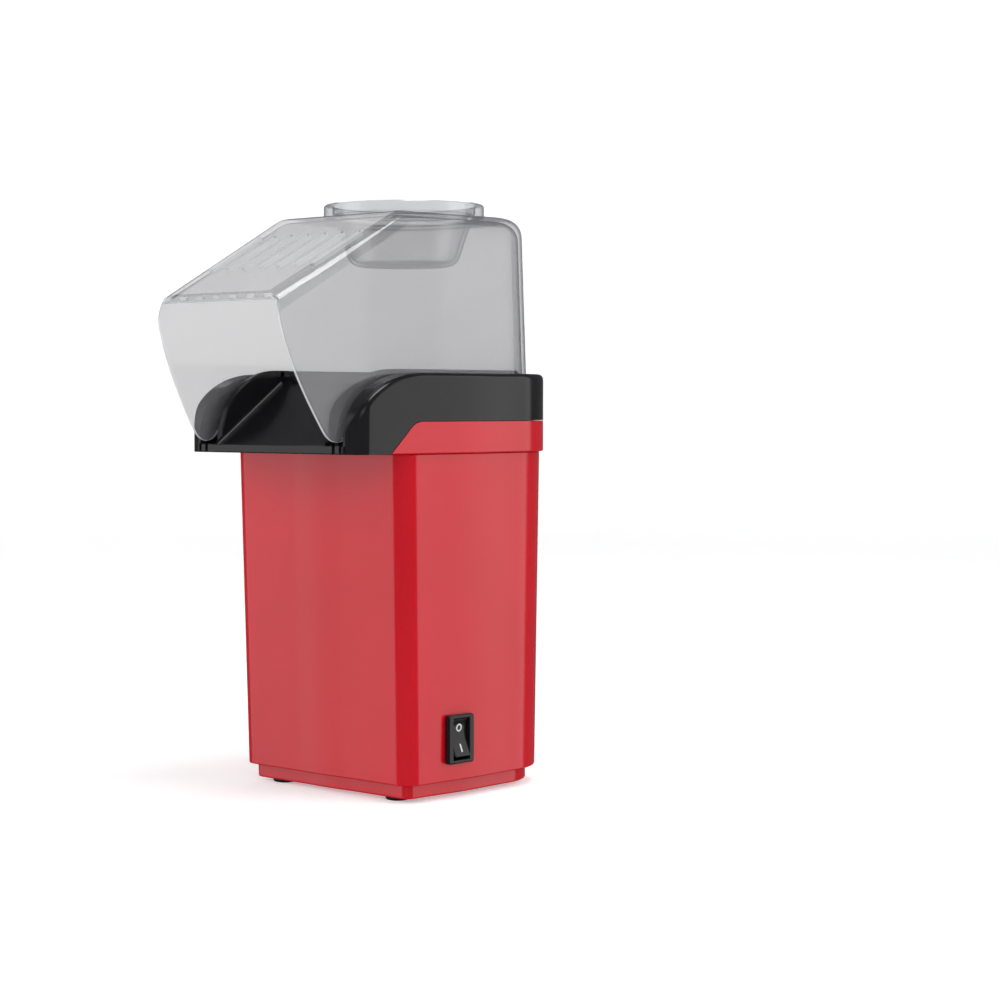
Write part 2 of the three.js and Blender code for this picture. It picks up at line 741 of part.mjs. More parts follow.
const finishes = {
  redPlastic: { color: 0xb8141a, roughness: 0.22, metalness: 0 },
  blackPlastic: { color: 0x1d1d1f, roughness: 0.25, metalness: 0 },
  clearPlastic: { color: 0xc9cacd, roughness: 0.12, metalness: 0, transparent: true, opacity: 0.45 },
  rubber: { color: 0x1a1a1a, roughness: 0.9, metalness: 0 },
  aluminium: { color: 0xc6c8ca, roughness: 0.35, metalness: 1 },
  steel: { color: 0xa9abad, roughness: 0.4, metalness: 1 },
  brass: { color: 0xc8a24a, roughness: 0.35, metalness: 1 },
  mica: { color: 0xb9a88a, roughness: 0.7, metalness: 0 },
  wire: { color: 0x6d6a66, roughness: 0.5, metalness: 1 },
  silicone: { color: 0xb9bdb9, roughness: 0.75, metalness: 0 },
  whiteNylon: { color: 0xe6e3da, roughness: 0.5, metalness: 0 },
  magnet: { color: 0x3a3b3d, roughness: 0.7, metalness: 0 },
  board: { color: 0x2f6b3c, roughness: 0.5, metalness: 0 },
  bakelite: { color: 0x2b211c, roughness: 0.5, metalness: 0 },
};

const popcornMaker = new THREE.Group();

function add(name, shape, finish) {
  const geometry = shape instanceof THREE.BufferGeometry ? shape : geometryOf(shape);
  const mesh = new THREE.Mesh(geometry, new THREE.MeshStandardMaterial(finishes[finish]));
  mesh.name = name;
  popcornMaker.add(mesh);
}

add('base_plate', basePlate(), 'redPlastic');
add('body_shell', bodyShell(), 'redPlastic');
add('top_collar', topCollar(), 'blackPlastic');
add('hood', hood(), 'clearPlastic');
add('measuring_cup', measuringCup(), 'clearPlastic');

add('switch_frame', switchFrame(), 'blackPlastic');
add('switch_rocker', switchRocker(), 'blackPlastic');
[-6, 6].forEach((offset, index) => add(`switch_terminal_${index + 1}`, switchTerminal(offset), 'brass'));
add('cord_gland', cordGland(), 'blackPlastic');

footSpots().forEach((spot, index) => add(`foot_${index + 1}`, foot(spot), 'rubber'));
bossSpots.forEach((spot, index) => {
  add(`base_screw_${index + 1}`, screw(spot.x, spot.y, footHeight + 0.9, 24), 'steel');
});
[-1, 1].forEach((side, index) => {
  add(`collar_screw_${index + 1}`, screw(side * collarPostX, collarPostY, 157.8, 18), 'steel');
});

add('popping_chamber', poppingChamber(), 'aluminium');
add('chamber_gasket', chamberGasket(), 'silicone');
chamberScrewAngles.forEach((angle, index) => add(`chamber_screw_${index + 1}`, chamberScrew(angle), 'steel'));
add('heat_shield', heatShield(), 'steel');
add('heater_plate_1', heaterPlate(20, 86, 104), 'mica');
add('heater_plate_2', heaterPlate(110, 68, 86.4), 'mica');
add('heating_coil', heatingCoil(), 'wire');
add('thermostat', thermostat(), 'bakelite');
add('thermostat_bracket', thermostatBracket(), 'steel');
add('thermal_fuse', thermalFuse(), 'steel');

add('blower_housing', blowerHousing(), 'blackPlastic');
add('impeller', impeller(), 'whiteNylon');
add('motor_shaft', rod(0, chamberY, 10.5, 66, 1.5, 16), 'steel');
add('motor_rotor', ring(0, chamberY, 22, 40, 1.8, 8.2, 32), 'steel');
add('motor_can', cut(solid(motorCan()), [
  rod(8, chamberY, 40, 50, 1.6, 12),
  rod(-8, chamberY, 40, 50, 1.6, 12),
]), 'steel');
add('motor_end_cap', motorEndCap(), 'blackPlastic');
add('motor_bearing_1', ring(0, chamberY, 43.6, 46.4, 1.8, 3.5, 20), 'brass');
add('motor_bearing_2', ring(0, chamberY, 12.4, 15.6, 1.8, 3.5, 20), 'brass');
[-1, 1].forEach((side, index) => {
  add(`motor_magnet_${index + 1}`, motorMagnet(side), 'magnet');
  add(`motor_screw_${index + 1}`, motorScrew(side), 'steel');
});

add('rectifier_board', block(-30, -8, 79.5, 81.1, 10.3, 38), 'board');
[-27, -21.5, -16, -10.5].forEach((x, index) => {
  add(`diode_${index + 1}`, rod(x, 76.6, 18, 28, 2.5, 12), 'blackPlastic');
});
add('terminal_block', block(18, 34, 62, 72, 4.8, 14), 'whiteNylon');

export default popcornMaker;
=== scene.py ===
import json
from math import atan2, cos, hypot, pi, radians, sin, sqrt

import bmesh
import bpy
from mathutils import Matrix, Vector


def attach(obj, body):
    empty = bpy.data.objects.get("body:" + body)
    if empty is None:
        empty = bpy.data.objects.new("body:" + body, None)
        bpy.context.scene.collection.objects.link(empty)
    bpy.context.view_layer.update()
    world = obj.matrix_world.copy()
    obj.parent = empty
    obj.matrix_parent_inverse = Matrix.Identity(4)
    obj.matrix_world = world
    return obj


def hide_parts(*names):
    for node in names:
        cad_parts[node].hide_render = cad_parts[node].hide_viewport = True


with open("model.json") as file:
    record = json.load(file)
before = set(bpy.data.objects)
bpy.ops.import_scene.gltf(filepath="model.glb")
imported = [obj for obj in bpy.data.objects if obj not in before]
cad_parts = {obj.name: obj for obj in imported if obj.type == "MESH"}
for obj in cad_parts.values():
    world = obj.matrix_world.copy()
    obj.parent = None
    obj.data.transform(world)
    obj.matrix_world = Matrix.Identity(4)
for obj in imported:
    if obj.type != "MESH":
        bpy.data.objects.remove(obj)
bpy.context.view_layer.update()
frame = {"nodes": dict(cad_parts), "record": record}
mm = 0.001
print("frame loaded:", len(frame["nodes"]), "nodes")


# Materials

# sRGB hex to linear RGBA.
def linear(hexColour):
    parts = [int(hexColour[i:i + 2], 16) / 255 for i in (0, 2, 4)]
    return [p / 12.92 if p <= 0.04045 else ((p + 0.055) / 1.055) ** 2.4 for p in parts] + [1.0]


# Adds a node with its settings (sockets or properties), its links and, for a ramp, its colour stops.
def addNode(tree, kind, settings=None, links=None, stops=()):
    node = tree.nodes.new(kind)
    for key, value in (settings or {}).items():
        if isinstance(key, int) or key in node.inputs:
            node.inputs[key].default_value = value
        else:
            setattr(node, key, value)
    for key, source in (links or {}).items():
        tree.links.new(source, node.inputs[key])
    if stops:
        for element, (position, colour) in zip(node.color_ramp.elements, stops):
            element.position = position
            element.color = linear(colour) if isinstance(colour, str) else colour
    return node


def newMaterial(name):
    material = bpy.data.materials.new(name)
    material.use_nodes = True
    tree = material.node_tree
    tree.nodes.clear()
    output = addNode(tree, "ShaderNodeOutputMaterial")
    place = addNode(tree, "ShaderNodeTexCoord").outputs["Object"]
    return material, tree, output, place


def grey(value):
    return [value, value, value, 1.0]


# Injection-moulded ABS from a polished mould: mirror-like gloss, very slight flow waves and fine dust specks.
# The tone drifts over about 70 mm, the flow waves are about 26 mm long and the specks about 0.7 mm across.
def glossAbs(name, dark, light, roughness, specular, specks):
    material, tree, output, place = newMaterial(name)
    cloud = addNode(tree, "ShaderNodeTexNoise", {"Scale": 14, "Detail": 3}, {"Vector": place})
    colour = addNode(tree, "ShaderNodeValToRGB", links={"Fac": cloud.outputs["Fac"]},
                     stops=[(0.3, dark), (0.7, light)]).outputs["Color"]
    flow = addNode(tree, "ShaderNodeTexNoise", {"Scale": 38, "Detail": 2}, {"Vector": place})
    grain = addNode(tree, "ShaderNodeTexNoise", {"Scale": 1400, "Detail": 2}, {"Vector": place})
    rough = addNode(tree, "ShaderNodeValToRGB", links={"Fac": grain.outputs["Fac"]},
                    stops=[(0.35, grey(roughness)), (0.75, grey(roughness + specks))]).outputs["Color"]
    wave = addNode(tree, "ShaderNodeBump", {"Strength": 1.0, "Distance": 0.02 * mm},
                   {"Height": flow.outputs["Fac"]})
    fine = addNode(tree, "ShaderNodeBump", {"Strength": 0.25, "Distance": 0.01 * mm},
                   {"Height": grain.outputs["Fac"], "Normal": wave.outputs["Normal"]})
    shader = addNode(tree, "ShaderNodeBsdfPrincipled", {"IOR": 1.53, "Specular IOR Level": specular},
                     {"Base Color": colour, "Roughness": rough, "Normal": fine.outputs["Normal"]})
    tree.links.new(shader.outputs["BSDF"], output.inputs["Surface"])
    return material


# Injection-moulded styrene with a smoky veil: see-through, darker where the wall is seen edge-on, and glossy.
# The veil drifts over about 40 mm. The mirror share follows the view angle alone, because a thin wall sends
# light out as it let it in.
def smokedStyrene(name, tint, edgeTint, veil, veilShare, edgeVeil, roughness):
    material, tree, output, place = newMaterial(name)
    cloud = addNode(tree, "ShaderNodeTexNoise", {"Scale": 26, "Detail": 4}, {"Vector": place})
    veilColour = addNode(tree, "ShaderNodeValToRGB", links={"Fac": cloud.outputs["Fac"]},
                         stops=[(0.3, veil[0]), (0.7, veil[1])]).outputs["Color"]
    flow = addNode(tree, "ShaderNodeTexNoise", {"Scale": 24, "Detail": 1}, {"Vector": place})
    bump = addNode(tree, "ShaderNodeBump", {"Strength": 1.0, "Distance": 0.04 * mm},
                   {"Height": flow.outputs["Fac"]})
    facing = addNode(tree, "ShaderNodeLayerWeight", {"Blend": 0.5}).outputs["Facing"]
    clearColour = addNode(tree, "ShaderNodeValToRGB", links={"Fac": facing},
                          stops=[(0.7, tint), (0.98, edgeTint)]).outputs["Color"]
    clear = addNode(tree, "ShaderNodeBsdfTransparent", links={"Color": clearColour})
    haze = addNode(tree, "ShaderNodeBsdfDiffuse", links={"Color": veilColour})
    through = addNode(tree, "ShaderNodeBsdfTranslucent", links={"Color": veilColour})
    body = addNode(tree, "ShaderNodeMixShader", {"Fac": 0.5},
                   {1: haze.outputs["BSDF"], 2: through.outputs["BSDF"]})
    share = addNode(tree, "ShaderNodeValToRGB", links={"Fac": facing},
                    stops=[(0.7, grey(veilShare)), (0.98, grey(edgeVeil))]).outputs["Color"]
    mixed = addNode(tree, "ShaderNodeMixShader",
                    links={"Fac": share, 1: clear.outputs["BSDF"], 2: body.outputs["Shader"]})
    gloss = addNode(tree, "ShaderNodeBsdfGlossy", {"Roughness": roughness, "Color": grey(1.0)},
                    {"Normal": bump.outputs["Normal"]})
    steep = addNode(tree, "ShaderNodeMath", {"operation": "POWER", 1: 5.0}, {0: facing})
    mirror = addNode(tree, "ShaderNodeMath", {"operation": "MULTIPLY_ADD", 1: 0.7, 2: 0.045},
                     {0: steep.outputs[0]})
    surface = addNode(tree, "ShaderNodeMixShader", links={
        "Fac": mirror.outputs[0], 1: mixed.outputs["Shader"], 2: gloss.outputs["BSDF"]})
    tree.links.new(surface.outputs["Shader"], output.inputs["Surface"])
    return material


# Sheet or turned metal, with grain lines per metre along each axis: 1000 is a line every millimetre.
def brushedMetal(name, dark, light, roughness, stretch):
    material, tree, output, place = newMaterial(name)
    lines = addNode(tree, "ShaderNodeMapping", {"Scale": stretch}, {"Vector": place})
    brush = addNode(tree, "ShaderNodeTexNoise", {"Scale": 1.0, "Detail": 3},
                    {"Vector": lines.outputs["Vector"]})
    colour = addNode(tree, "ShaderNodeValToRGB", links={"Fac": brush.outputs["Fac"]},
                     stops=[(0.3, dark), (0.7, light)]).outputs["Color"]
    rough = addNode(tree, "ShaderNodeValToRGB", links={"Fac": brush.outputs["Fac"]},
                    stops=[(0.3, grey(roughness)), (0.7, grey(roughness + 0.12))]).outputs["Color"]
    bump = addNode(tree, "ShaderNodeBump", {"Strength": 0.4, "Distance": 0.02 * mm},
                   {"Height": brush.outputs["Fac"]})
    shader = addNode(tree, "ShaderNodeBsdfPrincipled", {"Metallic": 1.0},
                     {"Base Color": colour, "Roughness": rough, "Normal": bump.outputs["Normal"]})
    tree.links.new(shader.outputs["BSDF"], output.inputs["Surface"])
    return material


# Anything matt and granular: rubber, silicone, nylon, phenolic resin, mica board, solder mask.
# The grain scale is grains per metre, and depth the height of a grain.
def mattPlastic(name, dark, light, roughness, grainScale, depth):
    material, tree, output, place = newMaterial(name)
    grain = addNode(tree, "ShaderNodeTexNoise", {"Scale": grainScale, "Detail": 4}, {"Vector": place})
    colour = addNode(tree, "ShaderNodeValToRGB", links={"Fac": grain.outputs["Fac"]},
                     stops=[(0.3, dark), (0.7, light)]).outputs["Color"]
    rough = addNode(tree, "ShaderNodeValToRGB", links={"Fac": grain.outputs["Fac"]},
                    stops=[(0.3, grey(roughness)), (0.7, grey(min(1.0, roughness + 0.1)))]).outputs["Color"]
    bump = addNode(tree, "ShaderNodeBump", {"Strength": 0.5, "Distance": depth},
                   {"Height": grain.outputs["Fac"]})
    shader = addNode(tree, "ShaderNodeBsdfPrincipled", {"IOR": 1.5},
                     {"Base Color": colour, "Roughness": rough, "Normal": bump.outputs["Normal"]})
    tree.links.new(shader.outputs["BSDF"], output.inputs["Surface"])
    return material


finishes = {
    # Polished red ABS: bright pink sheen where it mirrors a light, deep red on the rounded corners.
    "red_plastic": glossAbs("redAbs", "b10718", "b90a1d", 0.16, 0.46, 0.05),
    # Polished black ABS: nearly black, with softer mirror images than the red.
    "black_plastic": glossAbs("blackAbs", "141416", "19191b", 0.15, 0.28, 0.06),
    # Clear styrene with a smoky tint: neutral grey where two walls overlap.
    "clear_plastic": smokedStyrene("smokedStyrene", "f1f1f1", "bcbcbf", ("a9a9ad", "b3b3b7"),
                                   0.17, 0.42, 0.05),
    # Moulded rubber: matt black with a grain of about 1 mm.
    "rubber": mattPlastic("footRubber", "141414", "1e1e1e", 0.75, 900, 0.04 * mm),
    # Spun aluminium sheet: pale satin with fine rings 0.4 mm apart up its height.
    "aluminium": brushedMetal("spunAluminium", "b4b6b8", "d2d4d6", 0.28, (60, 60, 2600)),
    # Zinc-plated steel: cool grey, slightly mottled.
    "steel": brushedMetal("zincSteel", "9da0a4", "bcbfc2", 0.32, (900, 900, 900)),
    # Stamped brass: warm yellow, satin.
    "brass": brushedMetal("stampedBrass", "b98f3c", "d0a955", 0.3, (700, 700, 700)),
    # Pressed mica board: mottled tan flakes of about 3 mm.
    "mica": mattPlastic("pressedMica", "8f7f61", "c2b28f", 0.6, 320, 0.03 * mm),
    # Oxidised nichrome wire: dull brownish grey.
    "resistance_wire": brushedMetal("nichrome", "57534f", "77726c", 0.45, (1200, 1200, 1200)),
    # Moulded silicone: soft matt grey.
    "silicone": mattPlastic("gasketSilicone", "b2b6b2", "c2c6c2", 0.65, 700, 0.02 * mm),
    # Moulded nylon: warm white, half matt.
    "white_nylon": mattPlastic("nylon", "dcd9cf", "ebe8df", 0.42, 500, 0.01 * mm),
    # Sintered ferrite: charcoal, gritty.
    "magnet": mattPlastic("ferrite", "2b2c2e", "3b3c3f", 0.7, 1100, 0.03 * mm),
    # Solder mask over a glass-fibre board: green, half gloss.
    "circuit_board": mattPlastic("solderMask", "1d5a2c", "287039", 0.4, 260, 0.01 * mm),
    # Phenolic resin: dark brown, half matt.
    "phenolic": mattPlastic("phenolicResin", "1f1511", "30221b", 0.45, 800, 0.02 * mm),
}
# The cup is clearer styrene of a slightly cool tint, and its thin bowl nearly vanishes.
clearStyrene = smokedStyrene("clearStyrene", "f4f4f4", "c8cacc", ("9fa2a8", "aaaeb4"), 0.19, 0.42, 0.05)
thinStyrene = smokedStyrene("thinStyrene", "fbfbfb", "d4d6d8", ("c0c4ca", "ccd0d4"), 0.03, 0.3, 0.04)
# A paler, more veiled copy of the clear styrene for cut edges, vent walls and brow ribs: partly the glow of a
# cut edge, partly painted highlight.
styreneEdgeHighlight = smokedStyrene("styreneEdgeHighlight", "f6f6f6", "e4e4e4", ("e2e4e6", "eeeff0"), 0.72, 0.8, 0.1)
# Pad-printed switch marks: pale grey paint, matt.
markWhite = mattPlastic("markPaint", "c9c9c9", "d8d8d8", 0.5, 600, 0.005 * mm)
print("materials made:", len(finishes) + 4)


# Mesh tools

sharpAngle = radians(32)
mergeDistance = 0.01 * mm
tiny = 1e-6  # positions nearer than this are the same place


# Turns a bmesh into a piece that rides on a body and stands for its CAD nodes.
def finishPiece(bm, name, slot, body, nodes=(), material=None):
    bmesh.ops.remove_doubles(bm, verts=bm.verts, dist=mergeDistance)
    for face in bm.faces:
        face.smooth = True
    for edge in bm.edges:
        edge.smooth = len(edge.link_faces) == 2 and edge.calc_face_angle(0) < sharpAngle
    mesh = bpy.data.meshes.new(name)
    bm.to_mesh(mesh)
    bm.free()
    piece = bpy.data.objects.new(name, mesh)
    bpy.context.scene.collection.objects.link(piece)
    mesh.materials.append(material or finishes[slot])
    normals = piece.modifiers.new("weightedNormals", "WEIGHTED_NORMAL")
    normals.keep_sharp = True
    if nodes:
        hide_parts(*nodes)
    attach(piece, body)
    print("piece:", name, len(mesh.polygons), "faces")
    return piece


# A closed block from its side outline (y, z), as wide as 2 x halfWidth along X.
def sideBlock(points, halfWidth):
    bm = bmesh.new()
    face = bm.faces.new([bm.verts.new((-halfWidth, y, z)) for y, z in points])
    grown = bmesh.ops.extrude_face_region(bm, geom=[face])
    moved = [g for g in grown["geom"] if isinstance(g, bmesh.types.BMVert)]
    bmesh.ops.translate(bm, verts=moved, vec=(2 * halfWidth, 0, 0))
    bmesh.ops.recalc_face_normals(bm, faces=bm.faces)
    return bm


# A closed block from its plan outline (x, y), from low to high.
def planBlock(points, low, high):
    bm = bmesh.new()
    face = bm.faces.new([bm.verts.new((x, y, low)) for x, y in points])
    grown = bmesh.ops.extrude_face_region(bm, geom=[face])
    moved = [g for g in grown["geom"] if isinstance(g, bmesh.types.BMVert)]
    bmesh.ops.translate(bm, verts=moved, vec=(0, 0, high - low))
    bmesh.ops.recalc_face_normals(bm, faces=bm.faces)
    return bm


def box(x0, x1, y0, y1, z0, z1):
    bm = bmesh.new()
    size = Matrix.Diagonal((x1 - x0, y1 - y0, z1 - z0, 1))
    middle = Matrix.Translation(((x0 + x1) / 2, (y0 + y1) / 2, (z0 + z1) / 2))
    bmesh.ops.create_cube(bm, size=1, matrix=middle @ size)
    return bm


def drum(x, y, z0, z1, radius, segments=96):
    bm = bmesh.new()
    bmesh.ops.create_cone(bm, cap_ends=True, segments=segments, radius1=radius, radius2=radius, depth=z1 - z0,
                          matrix=Matrix.Translation((x, y, (z0 + z1) / 2)))
    return bm


def slices(bm, axis, positions):
    normal = Vector([float(i == axis) for i in range(3)])
    for position in positions:
        bmesh.ops.bisect_plane(bm, geom=bm.verts[:] + bm.edges[:] + bm.faces[:],
                               plane_co=normal * position, plane_no=normal, dist=1e-7)


def bevelWhere(bm, test, width, segments):
    bm.normal_update()
    edges = [e for e in bm.edges if len(e.link_faces) == 2 and test(e)]
    bmesh.ops.bevel(bm, geom=edges, offset=width, offset_type="OFFSET", segments=segments,
                    profile=0.5, affect="EDGES", material=-1, clamp_overlap=False)


def middleOf(edge):
    return (edge.verts[0].co + edge.verts[1].co) / 2


def upright(edge):
    along = (edge.verts[1].co - edge.verts[0].co).normalized()
    return abs(along.z) > 0.99


def warp(bm, place):
    for vert in bm.verts:
        vert.co = place(vert.co)


# One bmesh that holds copies of all the parts.
def joined(*parts):
    whole = bmesh.new()
    for part in parts:
        mesh = bpy.data.meshes.new("part")
        part.to_mesh(mesh)
        part.free()
        whole.from_mesh(mesh)
        bpy.data.meshes.remove(mesh)
    return whole


# Exact boolean of two closed bmeshes; returns a new bmesh.
def carve(bm, tool, operation="DIFFERENCE"):
    holders = []
    for source in (bm, tool):
        mesh = bpy.data.meshes.new("carve")
        source.to_mesh(mesh)
        source.free()
        holder = bpy.data.objects.new("carve", mesh)
        bpy.context.scene.collection.objects.link(holder)
        holders.append(holder)
    base, cutter = holders
    modifier = base.modifiers.new("carve", "BOOLEAN")
    modifier.solver = "EXACT"
    modifier.operation = operation
    modifier.object = cutter
    bpy.context.view_layer.update()
    depsgraph = bpy.context.evaluated_depsgraph_get()
    result = bpy.data.meshes.new_from_object(base.evaluated_get(depsgraph))
    whole = bmesh.new()
    whole.from_mesh(result)
    bpy.data.meshes.remove(result)
    for holder in holders:
        mesh = holder.data
        bpy.data.objects.remove(holder)
        bpy.data.meshes.remove(mesh)
    bmesh.ops.remove_doubles(whole, verts=whole.verts, dist=tiny)
    return whole


def arc(cx, cy, rx, ry, start, end, count):
    return [(cx + rx * cos(radians(start + (end - start) * i / count)),
             cy + ry * sin(radians(start + (end - start) * i / count))) for i in range(count + 1)]


# Points of a cubic Bezier curve, ends included.
def curve(a, b, c, d, count):
    found = []
    for i in range(count + 1):
        t = i / count
        u = 1 - t
        weights = (u ** 3, 3 * u * u * t, 3 * u * t * t, t ** 3)
        found.append(tuple(sum(w * p[k] for w, p in zip(weights, (a, b, c, d))) for k in (0, 1)))
    return found


# Spins a closed (radius, z) outline, or an open one that starts and ends on the axis, about a vertical.
def turnedPiece(outline, centre, steps=96):
    bm = bmesh.new()
    verts = [bm.verts.new((centre[0] + r, centre[1], z)) for r, z in outline]
    edges = [bm.edges.new(pair) for pair in zip(verts, verts[1:])]
    if outline[0][0] > tiny:
        edges.append(bm.edges.new((verts[-1], verts[0])))
    bmesh.ops.spin(bm, geom=verts + edges, cent=(centre[0], centre[1], 0), axis=(0, 0, 1),
                   dvec=(0, 0, 0), angle=2 * pi, steps=steps, use_merge=True)
    bmesh.ops.remove_doubles(bm, verts=bm.verts, dist=tiny)
    bmesh.ops.recalc_face_normals(bm, faces=bm.faces)
    return bm


# Red casing and plinth

casing = {
    "half": 62.3 * mm, "front": -31.7 * mm, "rear": 94.1 * mm, "bottom": 9.1 * mm, "top": 169.2 * mm,
    "frontRadius": 9.5 * mm, "rearRadius": 41 * mm, "bow": 1.5 * mm, "wall": 2.4 * mm,
    "taperX": 0.03, "taperY": 0.054, "taperCentre": 51.5 * mm,
    "bandTop": 184.6 * mm, "bandProud": 2 * mm, "edge": 0.7 * mm,
}


# How far a face falls back from its middle: nothing in the middle, depth at both ends.
def easedBow(position, low, high, depth):
    share = min(1.0, abs(2 * position - low - high) / (high - low))
    return depth * (1 - cos(pi * share)) / 2


# Bows the four upright faces of a block that is grow wider than the casing on every side.
def bowed(co, grow):
    half = casing["half"] + grow
    low = casing["front"] + casing["frontRadius"]
    high = casing["rear"] - casing["rearRadius"]
    side = easedBow(co.y, low, high, casing["bow"])
    flat = casing["half"] - casing["rearRadius"]
    nose = easedBow(co.x, -flat, flat, casing["bow"])
    middle = (low + high) / 2
    x = co.x * (1 - side / half)
    y = middle + (co.y - middle) * (1 - nose / (casing["rear"] - middle))
    return Vector((x, y, co.z))


# The casing narrows towards the floor.
def tapered(co):
    drop = max(0.0, (casing["top"] - co.z) / (casing["top"] - casing["bottom"]))
    centre = casing["taperCentre"]
    return Vector((co.x * (1 - drop * casing["taperX"]),
                   centre + (co.y - centre) * (1 - drop * casing["taperY"]), co.z))


# A rounded upright block of the casing's plan, inset from its outside.
def casingBlock(inset, low, high, edge=0.0):
    half = casing["half"] - inset
    front = casing["front"] + inset
    rear = casing["rear"] - inset
    bm = box(-half, half, front, rear, low, high)
    frontRadius = max(1.5 * mm, casing["frontRadius"] - inset)
    rearRadius = casing["rearRadius"] - inset
    bevelWhere(bm, lambda e: upright(e) and middleOf(e).y < 0, frontRadius, 10)
    bevelWhere(bm, lambda e: upright(e) and middleOf(e).y > rear - tiny and abs(middleOf(e).x) > half - tiny,
               rearRadius, 30)
    count = 14
    slices(bm, 1, [front + frontRadius + (rear - rearRadius - front - frontRadius) * i / count
                   for i in range(1, count)])
    slices(bm, 0, [(half - rearRadius) * (2 * i / count - 1) for i in range(1, count)])
    if edge:
        bevelWhere(bm, lambda e: abs(e.link_faces[0].normal.z - e.link_faces[1].normal.z) > 0.9, edge, 3)
    warp(bm, lambda co: tapered(bowed(co, -inset)))
    return bm


# Side outline of the red band with its slanted front end under the black skirt.
def bandOutline(grow):
    top = casing["bandTop"] + grow
    low = casing["top"]
    slant = curve((-29.5 * mm - grow, 179.4 * mm + grow), (-27 * mm - grow, 181.9 * mm + grow),
                  (-25 * mm - grow, top), (-20 * mm - grow, top), 8)
    return [(-40.2 * mm - grow, low - grow)] + slant + [(110 * mm, top), (110 * mm, low - grow)]


# How much narrower the collar and the band are on each side towards the fenders' front ends.
def fenderInset(y):
    corner = collar["corner"]
    turn = min(0.985, max(0.0, (collar["front"] + corner - y) / corner))
    return max(0.0, -15 * mm - y) * 0.062 + corner * (1 - sqrt(1 - turn * turn))


# A block of the collar's plan from its side outline: wide rear corners, bowed sides, narrowing fenders.
def collarBlock(outline):
    grow = casing["bandProud"]
    half = casing["half"] + grow
    rear = casing["rear"] + grow
    radius = casing["rearRadius"] + grow
    bm = sideBlock([(min(y, rear), z) for y, z in outline], half)
    bevelWhere(bm, lambda e: abs(e.verts[0].co.y - rear) + abs(e.verts[1].co.y - rear) < tiny
               and upright(e), radius, 30)
    slices(bm, 1, [(-50 + 8 * i) * mm for i in range(13)])
    slices(bm, 0, [(-18 + 3 * i) * mm for i in range(13)])
    return bm


def collarPlan(co):
    shaped = bowed(co, casing["bandProud"])
    share = fenderInset(co.y) / (casing["half"] + casing["bandProud"])
    shaped.x *= 1 - share
    if co.y < 0:
        shaped.y = co.y
    return shaped


def makeCasing():
    wall = casing["wall"]
    shell = casingBlock(0, casing["bottom"], casing["top"], casing["edge"])
    shell = carve(shell, casingBlock(wall, casing["bottom"] + 2 * mm, casing["top"] + 20 * mm))
    shell = carve(shell, casingBlock(5.4 * mm, casing["bottom"] - 5 * mm, casing["bottom"] + 5 * mm))
    band = collarBlock(bandOutline(0))
    bevelWhere(band, lambda e: middleOf(e).z < casing["top"] + tiny and e.calc_face_angle(0) > 1,
               casing["edge"], 3)
    warp(band, collarPlan)
    band = carve(band, casingBlock(wall, casing["top"] - 20 * mm, casing["bandTop"] + 20 * mm))
    band = carve(band, box(-52 * mm, 52 * mm, -60 * mm, -20 * mm, 150 * mm, 220 * mm))
    window = box(50 * mm, 70 * mm, 0.1 * mm, 14.7 * mm, 18.2 * mm, 41.2 * mm)
    shell = carve(shell, window)
    glandHole = drum(0, 0, -10 * mm, 10 * mm, 6.4 * mm, 48)
    bmesh.ops.rotate(glandHole, verts=glandHole.verts, matrix=Matrix.Rotation(pi / 2, 3, "X"))
    bmesh.ops.translate(glandHole, verts=glandHole.verts, vec=(0, 90 * mm, 26 * mm))
    shell = carve(shell, glandHole)
    finishPiece(joined(shell, band), "casing", "red_plastic", "body", ["body_shell"])


def makePlinth():
    inset = 4.9 * mm
    low = 2 * mm
    plinth = casingBlock(inset, low, casing["bottom"] - 0.3 * mm, 0.8 * mm)
    spigot = casingBlock(inset + 0.9 * mm, casing["bottom"] - 2 * mm, 13 * mm)
    plinth = carve(plinth, spigot, "UNION")
    plinth = carve(plinth, casingBlock(inset + 2.4 * mm, low + 2.4 * mm, 20 * mm))
    for row in (4, 40):
        for index in range(-3, 4):
            middle = index * 8 * mm
            slot = box(middle - 1.6 * mm, middle + 1.6 * mm, row * mm, (row + 30) * mm, 0, 8 * mm)
            bevelWhere(slot, upright, 1.5 * mm, 6)
            plinth = carve(plinth, slot)
    for x, y in ((40, -14), (-40, -14), (24, 76), (-24, 76)):
        plinth = carve(plinth, drum(x * mm, y * mm, 0, 3.2 * mm, 6.4 * mm, 48))
    for x, y in ((50, -12), (-50, -12), (39, 70), (-39, 70)):
        plinth = carve(plinth, drum(x * mm, y * mm, 0, 5 * mm, 3.6 * mm, 36))
    finishPiece(plinth, "plinth", "red_plastic", "body", ["base_plate"])


# Black collar, chute and hood seat

collar = {
    "front": -61.8 * mm, "curveCentre": (-17 * mm, 178.5 * mm), "reach": 44.8 * mm, "top": 208.2 * mm,
    "round": 2.8 * mm, "corner": 8 * mm, "fenderInner": 50.2 * mm, "low": 169.2 * mm,
    "chuteHalf": 38.5 * mm, "chuteWall": 4.5 * mm, "wallCentre": (-20 * mm, 175 * mm), "wallReach": 38 * mm,
    "spigotTop": 210 * mm, "plateTop": 207 * mm, "plateUnder": 200.5 * mm,
    "lipFront": -62.8 * mm, "lipTop": 173.4 * mm, "rampTop": (-13 * mm, 207 * mm), "seat": 203.2 * mm,
    "hole": 40.6 * mm, "chamberY": 32 * mm, "crease": 2 * mm,
}

